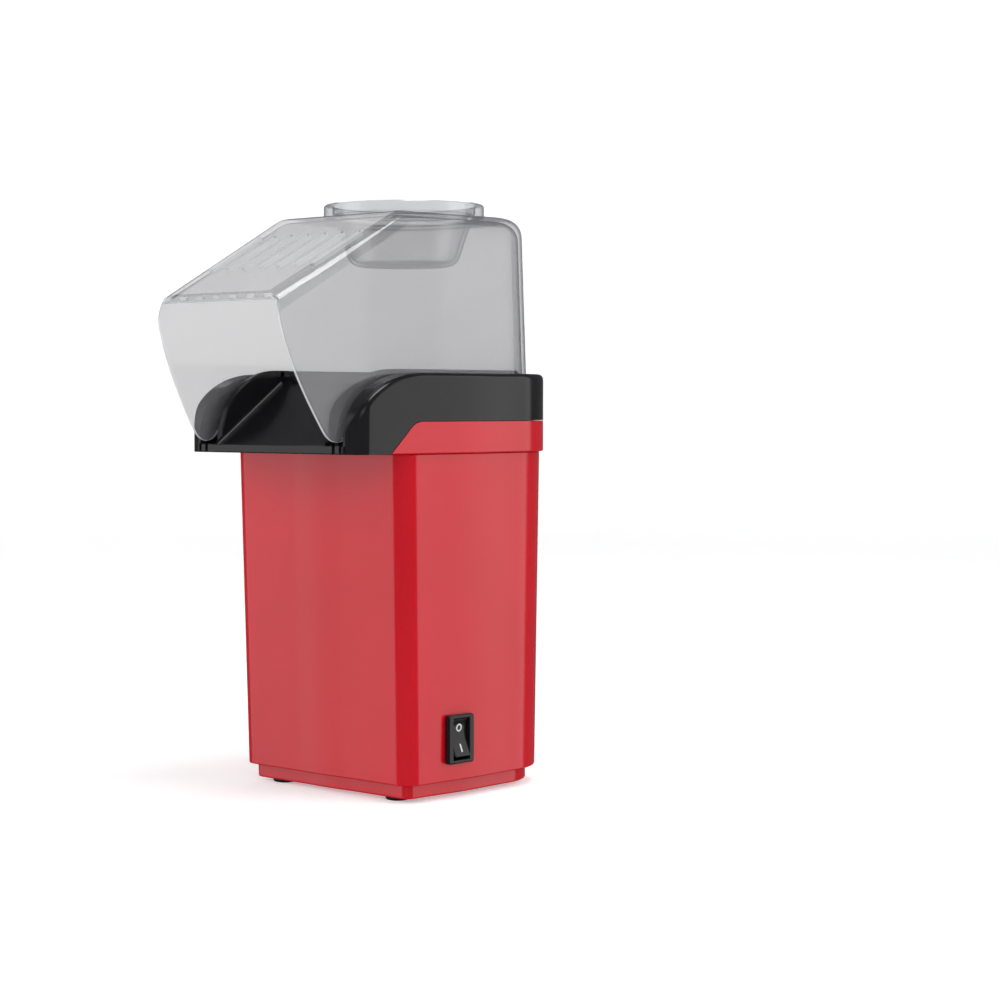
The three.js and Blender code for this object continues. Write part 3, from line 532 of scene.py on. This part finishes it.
hoodShape = {
    "top": 287 * mm, "fold": -14.8 * mm, "brow": (-95.7 * mm, 245 * mm), "wall": 2 * mm, "rear": 87.7 * mm,
    "lip": 3.4 * mm, "ribs": (4.8 * mm, 0.9 * mm),
    "round": 9 * mm, "corner": 40 * mm, "base": 56.1 * mm, "alongY": 0.0716, "alongZ": 0.0256, "lean": 0.52,
    "ventPitch": 11.9 * mm, "ventWidth": 2.8 * mm, "cupHole": 36.4 * mm,
}


def hoodHalf(y, z):
    return hoodShape["base"] + hoodShape["alongY"] * y - hoodShape["alongZ"] * z


# The hood's plan at its seat: straight sides that open to the rear, wide rear corners.
def hoodPlan(inset):
    corner = hoodShape["corner"] - inset
    rear = hoodShape["rear"] - inset
    front = -20 * mm
    seat = collar["seat"]
    side = hoodHalf(rear - corner, seat) - inset
    points = [(-hoodHalf(front, seat) + inset, front), (hoodHalf(front, seat) - inset, front)]
    points += arc(side - corner, rear - corner, corner, corner, 0, 90, 24)
    points += arc(corner - side, rear - corner, corner, corner, 90, 180, 24)
    return points


def makeCollar():
    low = collar["low"]
    centre, reach, top = collar["curveCentre"], collar["reach"], collar["top"]
    rise = top - centre[1]
    gap = 0.3 * mm
    skirt = [point for point in reversed(bandOutline(gap)[1:-2])]
    outline = [(collar["front"], low)]
    outline += arc(centre[0], centre[1], reach, rise, 180, 90, 22)
    outline += [(120 * mm, top), (120 * mm, casing["bandTop"] + gap)]
    outline += skirt
    outline += [(-40.8 * mm, low)]
    shell = collarBlock(outline)

    def rimEdge(edge):
        front = middleOf(edge).y < -50 * mm
        flat = [abs(face.normal.x) < 0.01 and (face.normal.z > 0.01 or (face.normal.y < -0.5 and front))
                for face in edge.link_faces]
        return sum(flat) == 1 and edge.calc_face_angle(0) > 0.7 and middleOf(edge).z > low + 0.1 * mm

    bevelWhere(shell, rimEdge, collar["round"], 7)
    corner = collar["corner"]
    slices(shell, 1, [collar["front"] + corner * (1 - sin(radians(9 * i))) for i in range(10)])
    warp(shell, collarPlan)
    shell = carve(shell, planBlock(hoodPlan(-0.5 * mm), collar["seat"], 230 * mm))
    inner = collar["fenderInner"]
    shell = carve(shell, box(-inner, inner, -90 * mm, -14 * mm, 150 * mm, 230 * mm))

    def innerEdge(edge):
        middle = middleOf(edge)
        walls = sum(abs(face.normal.x) > 0.99 for face in edge.link_faces)
        return (walls == 1 and edge.calc_face_angle(0) > 0.9 and abs(abs(middle.x) - inner) < 1e-5
                and middle.y < -22 * mm and middle.z > low + 1 * mm)

    bevelWhere(shell, innerEdge, 0.5 * mm, 3)
    shell = carve(shell, casingBlock(2.2 * mm, 150 * mm, collar["plateUnder"]))
    shell = carve(shell, drum(0, collar["chamberY"], 150 * mm, 230 * mm, collar["hole"]))

    # Hood seat: a low wall that the hood slips over, with the plate around the chamber's mouth inside it.
    spigot = planBlock([(x, max(y, -18 * mm)) for x, y in hoodPlan(2.6 * mm)],
                       collar["plateUnder"], collar["spigotTop"])
    bevelWhere(spigot, lambda e: middleOf(e).z > collar["spigotTop"] - tiny and e.calc_face_angle(0) > 1,
               0.8 * mm, 3)
    spigot = carve(spigot, planBlock([(x, max(y, -15.5 * mm)) for x, y in hoodPlan(5 * mm)],
                                     collar["plateTop"], 230 * mm))
    mouth = drum(0, collar["chamberY"], 150 * mm, 230 * mm, collar["hole"])
    spigot = carve(spigot, mouth)
    half = collar["chuteHalf"]
    spigot = carve(spigot, box(-half, half, -40 * mm, -9 * mm, collar["plateTop"], 230 * mm))

    # Chute: two lobed walls, a slanted floor and the lip in front.
    wallCentre, wallReach = collar["wallCentre"], collar["wallReach"]
    outer = half + collar["chuteWall"]
    lobe = [(wallCentre[0] - wallReach, low)]
    lobe += arc(wallCentre[0], wallCentre[1], wallReach, collar["spigotTop"] - wallCentre[1], 180, 90, 26)
    lobe += [(-12 * mm, collar["spigotTop"]), (-12 * mm, low)]
    walls = sideBlock(lobe, outer)
    bevelWhere(walls, lambda e: sum(abs(f.normal.x) > 0.9 for f in e.link_faces) == 1
               and middleOf(e).z > low + tiny, 1.3 * mm, 4)
    walls = carve(walls, box(-half, half, -90 * mm, 0, 150 * mm, 230 * mm))
    bevelWhere(walls, lambda e: abs(abs(middleOf(e).x) - half) < tiny and not upright(e)
               and middleOf(e).z > low + tiny and middleOf(e).y < -12.5 * mm and e.calc_face_angle(0) > 0.9,
               0.9 * mm, 3)
    start, end = (collar["lipFront"] + 1.6 * mm, collar["lipTop"] - 0.7 * mm), collar["rampTop"]
    floor = sideBlock([start, end, (-9 * mm, end[1]), (-9 * mm, end[1] - 2.5 * mm),
                       (end[0], end[1] - 3 * mm), (start[0] + 2 * mm, low + 0.5 * mm),
                       (start[0], low + 0.5 * mm)], half + 1 * mm)
    rise, run = end[1] - start[1], end[0] - start[0]
    fillets = []
    for side in (-1, 1):
        radius = collar["crease"]
        section = [(0, 0), (radius, 0)]
        section += [(radius - x, radius - y) for x, y in arc(0, 0, radius, radius, 90, 0, 6)][1:]
        fillet = bmesh.new()
        face = fillet.faces.new([fillet.verts.new((side * (half - x), 0, z)) for x, z in section])
        grown = bmesh.ops.extrude_face_region(fillet, geom=[face])
        bmesh.ops.translate(fillet, verts=[g for g in grown["geom"] if isinstance(g, bmesh.types.BMVert)],
                            vec=(0, hypot(rise, run), 0))
        bmesh.ops.recalc_face_normals(fillet, faces=fillet.faces)
        bmesh.ops.rotate(fillet, verts=fillet.verts, matrix=Matrix.Rotation(atan2(rise, run), 3, "X"))
        bmesh.ops.translate(fillet, verts=fillet.verts, vec=(0, start[0], start[1]))
        fillets.append(fillet)
    lip = box(-51.6 * mm, 51.6 * mm, collar["lipFront"], -54 * mm, low, collar["lipTop"])
    bevelWhere(lip, lambda e: middleOf(e).y < -60 * mm or abs(middleOf(e).x) > 51 * mm, 0.7 * mm, 3)
    dip = sideBlock([(start[0], collar["lipTop"] + 9 * mm), (start[0], start[1]),
                     (-50 * mm, start[1] + 8.5 * mm), (-50 * mm, collar["lipTop"] + 20 * mm)], half)
    lip = carve(lip, dip)
    under = box(-outer, outer, -57 * mm, -30 * mm, low, low + 2 * mm)
    pockets = []
    for side in (-1, 1):
        for middle, width in ((44.8, 1.0), (49.4, 0.9)):
            x = side * middle * mm
            lip = carve(lip, box(x - width * mm, x + width * mm, -70 * mm, -58.5 * mm, 160 * mm, 180 * mm))
        web = sorted((side * outer, side * (inner + 1 * mm)))
        pockets.append(box(web[0], web[1], -56 * mm, -14 * mm, low, 174.2 * mm))
    whole = joined(shell, spigot, walls, floor, lip, under, *pockets, *fillets)
    finishPiece(whole, "collar", "black_plastic", "body", ["top_collar"])


# Hood and measuring cup

# The hood as a full block: slanted roof, tapered sides, wide rear corners, rounded along its top.
def hoodSolid(inset):
    shape = hoodShape
    slope = (shape["top"] - shape["brow"][1]) / (shape["fold"] - shape["brow"][0])
    drop = inset * sqrt(1 + slope * slope)
    top = shape["top"] - inset
    fold = shape["fold"] + inset * 0.24
    browY, browZ = shape["brow"]
    rear = shape["rear"] - inset
    if inset:
        front, lip = browY - 30 * mm, browZ - shape["lip"]
        points = [(browY + inset, browZ - drop + slope * inset), (browY + inset, lip), (front, lip),
                  (front, 150 * mm), (rear, 150 * mm)]
    else:
        edge = curve((browY, browZ - 11 * mm), (-92.4 * mm, 217.5 * mm), (-82.8 * mm, 199.3 * mm),
                     (-69.8 * mm, 179.6 * mm), 16)
        tip = curve((-69.8 * mm, 179.6 * mm), (-66.5 * mm, 174.9 * mm), (-60.5 * mm, 172.9 * mm),
                    (-55.5 * mm, 177.5 * mm), 10)
        back = curve((-55.5 * mm, 177.5 * mm), (-45 * mm, 190 * mm), (-36 * mm, 203.5 * mm),
                     (-17 * mm, 203.5 * mm), 10)
        points = [(browY, browZ)] + edge + tip[1:] + back[1:] + [(rear, 203.5 * mm)]
    points += [(rear, top), (fold, top)]
    half = 60 * mm
    bm = sideBlock(points, half)
    bevelWhere(bm, lambda e: upright(e) and abs(middleOf(e).y - rear) < tiny, shape["corner"] - inset, 30)
    bevelWhere(bm, lambda e: abs(middleOf(e).y - fold) + abs(middleOf(e).z - top) < tiny, 3.5 * mm, 4)

    def topEdge(edge):
        middle = middleOf(edge)
        flat = [abs(face.normal.x) < 0.01 and face.normal.z > 0.5 for face in edge.link_faces]
        crossing = abs(middle.x) < half - 0.1 * mm and middle.y < 0
        return (sum(flat) == 1 and edge.calc_face_angle(0) > 1.2 and middle.z > 190 * mm
                and middle.y > browY - 31 * mm and not crossing)

    bevelWhere(bm, topEdge, shape["round"], 8)

    # The outer 45 mm of each side keep their shape, and only the middle is squeezed.
    def place(co):
        seat = collar["seat"]
        width = hoodHalf(co.y, co.z) - inset
        lean = 1 - (co.z - seat) * shape["lean"]
        y = collar["chamberY"] + (co.y - collar["chamberY"]) * lean if co.y > 0 else co.y
        kept = 45 * mm
        if abs(co.x) > half - kept:
            x = width - (half - abs(co.x))
        else:
            x = abs(co.x) * (width - kept) / (half - kept)
        return Vector((x if co.x > 0 else -x, y, co.z))

    warp(bm, place)
    return bm


def makeHood():
    shape = hoodShape
    outer = hoodSolid(0)
    browY = shape["brow"][0]

    def browEdge(edge):
        fronts = [face.normal.y < -0.95 and face.calc_center_median().y < browY + 0.1 * mm
                  for face in edge.link_faces]
        return sum(fronts) == 1 and middleOf(edge).z > shape["brow"][1] - 10 * mm

    bevelWhere(outer, browEdge, 1.6 * mm, 4)
    shell = carve(outer, hoodSolid(shape["wall"]))
    slope = atan2(shape["top"] - shape["brow"][1], shape["fold"] - shape["brow"][0])
    shell = carve(shell, drum(0, collar["chamberY"], 270 * mm, 300 * mm, shape["cupHole"], 120))
    for index in range(-3, 4):
        vent = box(-shape["ventWidth"] / 2, shape["ventWidth"] / 2, -60.5 * mm, -22.5 * mm, -6 * mm, 6 * mm)
        bevelWhere(vent, upright, 1.2 * mm, 4)
        bmesh.ops.rotate(vent, verts=vent.verts, matrix=Matrix.Rotation(slope, 3, "X"))
        bmesh.ops.translate(vent, verts=vent.verts,
                            vec=(index * shape["ventPitch"], shape["fold"], shape["top"]))
        shell = carve(shell, vent)
    bevelWhere(shell, lambda e: e.calc_face_angle(0) > 1.1, 0.3 * mm, 2)
    # Small cut edges along the mouth, the vent walls and the seat's underside get the paler copy, which paints
    # a highlight on them.
    shell.normal_update()
    for face in shell.faces:
        middle = face.calc_center_median()
        alongMouth = abs(face.normal.x) < 0.25 and middle.y < -16 * mm and face.normal.z < 0.3
        inVent = (middle.z > 240 * mm and abs(face.normal.x) > 0.9 and abs(middle.x) < 39 * mm
                  and middle.y < -20 * mm)
        under = face.normal.z < -0.9 and middle.z < 206 * mm
        face.material_index = 1 if (alongMouth and face.calc_area() < 3e-5) or inVent or under else 0
    hood = finishPiece(shell, "hood", "clear_plastic", "hood", ["hood"])
    hood.data.materials.append(styreneEdgeHighlight)

    # A row of small ribs along the brow, one in line with each vent.
    ribs = bmesh.new()
    length, height = shape["ribs"]
    for index in range(-3, 4):
        rib = box(-length / 2, length / 2, -0.4 * mm, 0.6 * mm, -height, height)
        bevelWhere(rib, lambda e: True, 0.35 * mm, 3)
        middle = Vector((index * shape["ventPitch"], browY, shape["brow"][1] - 1.6 * mm))
        bmesh.ops.translate(rib, verts=rib.verts, vec=middle)
        ribs = joined(ribs, rib)
    # The ribs wear the paler copy, which paints their highlight.
    finishPiece(ribs, "browRibs", "clear_plastic", "hood", material=styreneEdgeHighlight)


cupShape = {
    "seat": 287.3 * mm, "rim": 294 * mm, "bowl": 263 * mm, "ring": 38.2 * mm, "grip": 40.8 * mm,
    "wall": 1.8 * mm,
    "gripAzimuths": (134, -46), "gripSpan": 66,
}


def makeCup():
    seat, rim, bowl, ring, wall = (cupShape[key] for key in ("seat", "rim", "bowl", "ring", "wall"))
    outline = [(0, bowl), (21 * mm, bowl)]
    outline += arc(22 * mm, bowl + 7 * mm, 7 * mm, 7 * mm, 282, 348, 8)
    outline += [(33.4 * mm, seat - 5 * mm), (34.6 * mm, seat - 1 * mm), (35 * mm, seat)]
    outline += [(ring - 0.6 * mm, seat), (ring, seat + 0.6 * mm), (ring, rim - 0.6 * mm),
                (ring - 0.4 * mm, rim), (ring - wall + 0.4 * mm, rim), (ring - wall, rim - 0.5 * mm),
                (ring - wall, seat + 2.4 * mm), (ring - wall - 0.6 * mm, seat + wall),
                (33.6 * mm, seat + wall), (32.8 * mm, seat + 1.2 * mm), (31.6 * mm, seat - 4.4 * mm)]
    outline += arc(22 * mm, bowl + 7 * mm, 5.2 * mm, 5.2 * mm, 348, 282, 8)
    outline += [(21 * mm, bowl + wall), (0, bowl + wall)]
    cup = turnedPiece(outline, (0, collar["chamberY"]), 144)
    for azimuth in cupShape["gripAzimuths"]:
        grip = bmesh.new()
        inner, outer = ring - 0.8 * mm, cupShape["grip"]
        low, high = seat + 0.02 * mm, rim - 0.02 * mm
        corners = [(inner, low), (outer - 0.6 * mm, low), (outer, seat + 0.6 * mm),
                   (outer, rim - 0.8 * mm), (outer - 0.8 * mm, high), (inner, high)]
        face = grip.faces.new([grip.verts.new((r, 0, z)) for r, z in corners])
        bmesh.ops.spin(grip, geom=grip.verts[:] + grip.edges[:] + [face], cent=(0, 0, 0), axis=(0, 0, 1),
                       dvec=(0, 0, 0), angle=radians(cupShape["gripSpan"]), steps=28)
        bmesh.ops.recalc_face_normals(grip, faces=grip.faces)
        turn = Matrix.Rotation(radians(azimuth - 90 - cupShape["gripSpan"] / 2), 3, "Z")
        bmesh.ops.rotate(grip, verts=grip.verts, matrix=turn)
        bmesh.ops.translate(grip, verts=grip.verts, vec=(0, collar["chamberY"], 0))
        cup = carve(cup, grip, "UNION")
    bevelWhere(cup, lambda e: upright(e) and e.calc_face_angle(0) > 0.8, 0.4 * mm, 2)
    cup.normal_update()
    for face in cup.faces:
        face.material_index = 1 if face.calc_center_median().z < seat - 0.5 * mm else 0
    piece = finishPiece(cup, "measuringCup", "clear_plastic", "cup", ["measuring_cup"], clearStyrene)
    piece.data.materials.append(thinStyrene)


# Switch, gland and feet

def makeSwitch():
    face, y, z = 60.9 * mm, 7.4 * mm, 29.7 * mm
    bezel = box(face - 0.7 * mm, face + 2 * mm, y - 9.1 * mm, y + 9.1 * mm, z - 12 * mm, z + 12 * mm)
    bevelWhere(bezel, lambda e: abs((e.verts[1].co - e.verts[0].co).x) > 1 * mm, 1.6 * mm, 5)
    bevelWhere(bezel, lambda e: middleOf(e).x > face + 2 * mm - tiny and e.calc_face_angle(0) > 1, 0.7 * mm, 4)
    block = box(44 * mm, face + 1 * mm, y - 6.9 * mm, y + 6.9 * mm, z - 11.2 * mm, z + 11.2 * mm)
    bezel = carve(bezel, block, "UNION")
    pocket = box(50 * mm, 70 * mm, y - 5.7 * mm, y + 5.7 * mm, z - 10.1 * mm, z + 10.1 * mm)
    bezel = carve(bezel, pocket)
    bevelWhere(bezel, lambda e: middleOf(e).x > face + 2 * mm - tiny and e.calc_face_angle(0) > 1
               and abs(middleOf(e).y - y) < 5.8 * mm and abs(middleOf(e).z - z) < 10.2 * mm, 0.4 * mm, 3)
    finishPiece(bezel, "switchBezel", "black_plastic", "body", ["switch_frame"])

    pivot = Vector((58.3 * mm, y, z))
    dish = curve((4.6 * mm, -9.1 * mm), (2.2 * mm, -4 * mm), (2.2 * mm, 4 * mm), (4.6 * mm, 9.1 * mm), 14)
    outline = dish + [(0, 9 * mm), (-4.2 * mm, 3 * mm), (-4.2 * mm, -3 * mm), (0, -9 * mm)]
    rocker = bmesh.new()
    side = rocker.faces.new([rocker.verts.new((x, -5.4 * mm, h)) for x, h in outline])
    grown = bmesh.ops.extrude_face_region(rocker, geom=[side])
    moved = [g for g in grown["geom"] if isinstance(g, bmesh.types.BMVert)]
    bmesh.ops.translate(rocker, verts=moved, vec=(0, 10.8 * mm, 0))
    bmesh.ops.recalc_face_normals(rocker, faces=rocker.faces)
    bevelWhere(rocker, lambda e: middleOf(e).x > 1 * mm and e.calc_face_angle(0) > 0.7, 0.5 * mm, 4)
    tilt = Matrix.Rotation(radians(-8), 3, "Y")
    bmesh.ops.rotate(rocker, verts=rocker.verts, matrix=tilt)
    bmesh.ops.translate(rocker, verts=rocker.verts, vec=pivot)
    finishPiece(rocker, "switchRocker", "black_plastic", "rocker", ["switch_rocker"])

    ringMark = bmesh.new()
    bmesh.ops.create_circle(ringMark, segments=12, radius=0.46 * mm,
                            matrix=Matrix.Translation((1.62 * mm, 0, 0)))
    warp(ringMark, lambda co: Vector((co.x, 0, co.y)))
    bmesh.ops.spin(ringMark, geom=ringMark.verts[:] + ringMark.edges[:], cent=(0, 0, 0), axis=(0, 0, 1),
                   dvec=(0, 0, 0), angle=2 * pi, steps=40, use_merge=True)
    barMark = box(-2.1 * mm, 2.1 * mm, -0.46 * mm, 0.46 * mm, -0.4 * mm, 0.4 * mm)
    bevelWhere(barMark, lambda e: True, 0.1 * mm, 2)
    depth = 3.15 * mm
    for mark, height, lean in ((ringMark, 5 * mm, 15), (barMark, -5 * mm, -15)):
        bmesh.ops.rotate(mark, verts=mark.verts, matrix=Matrix.Rotation(pi / 2, 3, "Y"))
        bmesh.ops.rotate(mark, verts=mark.verts, matrix=Matrix.Rotation(radians(lean), 3, "Y"))
        bmesh.ops.translate(mark, verts=mark.verts, vec=(depth, 0, height))
        bmesh.ops.rotate(mark, verts=mark.verts, matrix=tilt)
        bmesh.ops.translate(mark, verts=mark.verts, vec=pivot)
        bmesh.ops.recalc_face_normals(mark, faces=mark.faces)
    finishPiece(ringMark, "offMark", "white_nylon", "rocker", material=markWhite)
    finishPiece(barMark, "onMark", "white_nylon", "rocker", material=markWhite)


def makeGland():
    outline = [(3.6, -8), (7.4, -8), (7.6, -7.8), (7.6, -6.4), (7.4, -6.2), (6, -6.2), (6, 0.2),
               (8.4, 0.2), (8.6, 0.4), (8.6, 1.4), (7.9, 2.3), (7.2, 2.6), (4.2, 2.6), (3.6, 2)]
    gland = turnedPiece([(r * mm, z * mm) for r, z in outline], (0, 0), 64)
    bmesh.ops.rotate(gland, verts=gland.verts, matrix=Matrix.Rotation(-pi / 2, 3, "X"))
    bmesh.ops.translate(gland, verts=gland.verts, vec=(0, 92.9 * mm, 26 * mm))
    finishPiece(gland, "cordGland", "black_plastic", "body", ["cord_gland"])


def makeFeet():
    for index, (x, y) in enumerate(((40, -14), (-40, -14), (24, 76), (-24, 76)), 1):
        outline = [(0, 0), (4.6, 0), (5.5, 0.25), (6, 0.9), (6, 2.9), (0, 2.9)]
        foot = turnedPiece([(r * mm, z * mm) for r, z in outline], (x * mm, y * mm), 48)
        finishPiece(foot, f"rubberFoot{index}", "rubber", "body", [f"foot_{index}"])


makeCasing()
makePlinth()
makeCollar()
makeHood()
makeCup()
makeSwitch()
makeGland()
makeFeet()

# The parts inside keep their CAD shape and get their real finish.
slotOf = {entry["node"]: entry["material_slot"] for entry in frame["record"]["subparts"]}
for name, node in frame["nodes"].items():
    node.data.materials.clear()
    node.data.materials.append(finishes[slotOf[name]])
    for polygon in node.data.polygons:
        polygon.use_smooth = False
print("inner parts finished")


# Stage: pale floor, soft studio light, camera

studio = {
    "floorRadius": 2.6, "coveRadius": 0.9, "domeHeight": 3.6,
    "surround": "f1f1f2", "glow": 0.42, "gloom": 0.11,
    "camera": {"azimuth": 44.3, "elevation": 2.1, "distance": 1.211, "lens": 85.6,
               "aim": (-0.0036, 0.019, 0.1483), "shift": (0.119, -0.008)},
    # name: azimuth from -Y towards +X, middle height, distance, width, height, radiance
    "softboxes": {
        "leftBox": (-46, 0.45, 1.4, 0.95, 1.6, 1.32), "rightBox": (136, 0.45, 1.4, 0.95, 1.6, 1.38),
        "frontBox": (44, 0.95, 1.5, 0.9, 0.45, 1.6), "topBox": (86, 1.35, 0.42, 0.5, 0.5, 8.0),
        "backBox": (-123, 1.17, 1.4, 0.5, 0.5, 1.05),
    },
}


# One seamless surround: floor, rounded cove and wall, all in the same pale paper.
def makeDome():
    floorRadius, cove = studio["floorRadius"], studio["coveRadius"]
    outline = [(0, 0), (floorRadius * 0.5, 0), (floorRadius, 0)]
    outline += arc(floorRadius, cove, cove, cove, 280, 360, 8)
    outline += [(floorRadius + cove, studio["domeHeight"])]
    bm = bmesh.new()
    verts = [bm.verts.new((r, 0, z)) for r, z in outline]
    edges = [bm.edges.new(pair) for pair in zip(verts, verts[1:])]
    bmesh.ops.spin(bm, geom=verts + edges, cent=(0, 0, 0), axis=(0, 0, 1), dvec=(0, 0, 0), angle=2 * pi,
                   steps=96, use_merge=True)
    bmesh.ops.remove_doubles(bm, verts=bm.verts, dist=1e-5)
    bmesh.ops.recalc_face_normals(bm, faces=bm.faces)
    bmesh.ops.reverse_faces(bm, faces=bm.faces)
    for face in bm.faces:
        face.smooth = True
    mesh = bpy.data.meshes.new("surround")
    bm.to_mesh(mesh)
    bm.free()
    surround = bpy.data.objects.new("surround", mesh)
    bpy.context.scene.collection.objects.link(surround)
    material, tree, output, place = newMaterial("backdropPaper")
    cloud = addNode(tree, "ShaderNodeTexNoise", {"Scale": 0.8, "Detail": 2}, {"Vector": place})
    paper = addNode(tree, "ShaderNodeValToRGB", links={"Fac": cloud.outputs["Fac"]},
                    stops=[(0.3, studio["surround"]), (0.7, "f4f4f4")]).outputs["Color"]
    diffuse = addNode(tree, "ShaderNodeBsdfDiffuse", links={"Color": paper})
    glow = addNode(tree, "ShaderNodeEmission", {"Strength": studio["glow"]}, {"Color": paper})
    both = addNode(tree, "ShaderNodeAddShader",
                   links={0: diffuse.outputs["BSDF"], 1: glow.outputs["Emission"]})
    tree.links.new(both.outputs["Shader"], output.inputs["Surface"])
    mesh.materials.append(material)
    surround.visible_glossy = False


def makeSoftbox(name, azimuth, height, distance, width, tall, radiance):
    around = radians(azimuth)
    place = Vector((sin(around) * distance, -cos(around) * distance, height))
    data = bpy.data.lights.new(name, "AREA")
    data.shape = "RECTANGLE"
    data.size = width
    data.size_y = tall
    data.energy = radiance * pi * width * tall
    light = bpy.data.objects.new(name, data)
    bpy.context.scene.collection.objects.link(light)
    light.location = place
    aim = Vector((0, 0, min(height, 0.45)))
    light.rotation_euler = (place - aim).to_track_quat("Z", "Y").to_euler()
    light.visible_camera = False


def makeCamera():
    spec = studio["camera"]
    azimuth, elevation = radians(spec["azimuth"]), radians(spec["elevation"])
    back = Vector((sin(azimuth) * cos(elevation), -cos(azimuth) * cos(elevation), sin(elevation)))
    data = bpy.data.cameras.new("camera")
    data.lens = spec["lens"]
    data.sensor_width = 36
    data.shift_x, data.shift_y = spec["shift"]
    camera = bpy.data.objects.new("camera", data)
    bpy.context.scene.collection.objects.link(camera)
    camera.location = Vector(spec["aim"]) + back * spec["distance"]
    camera.rotation_euler = back.to_track_quat("Z", "Y").to_euler()
    bpy.context.scene.camera = camera


makeDome()
for name, settings in studio["softboxes"].items():
    makeSoftbox(name, *settings)
makeCamera()
world = bpy.data.worlds.new("studio")
world.use_nodes = True
world.node_tree.nodes["Background"].inputs["Color"].default_value = grey(studio["gloom"])
bpy.context.scene.world = world
bpy.context.scene.view_settings.view_transform = "Standard"
bpy.context.scene.cycles.transparent_max_bounces = 32
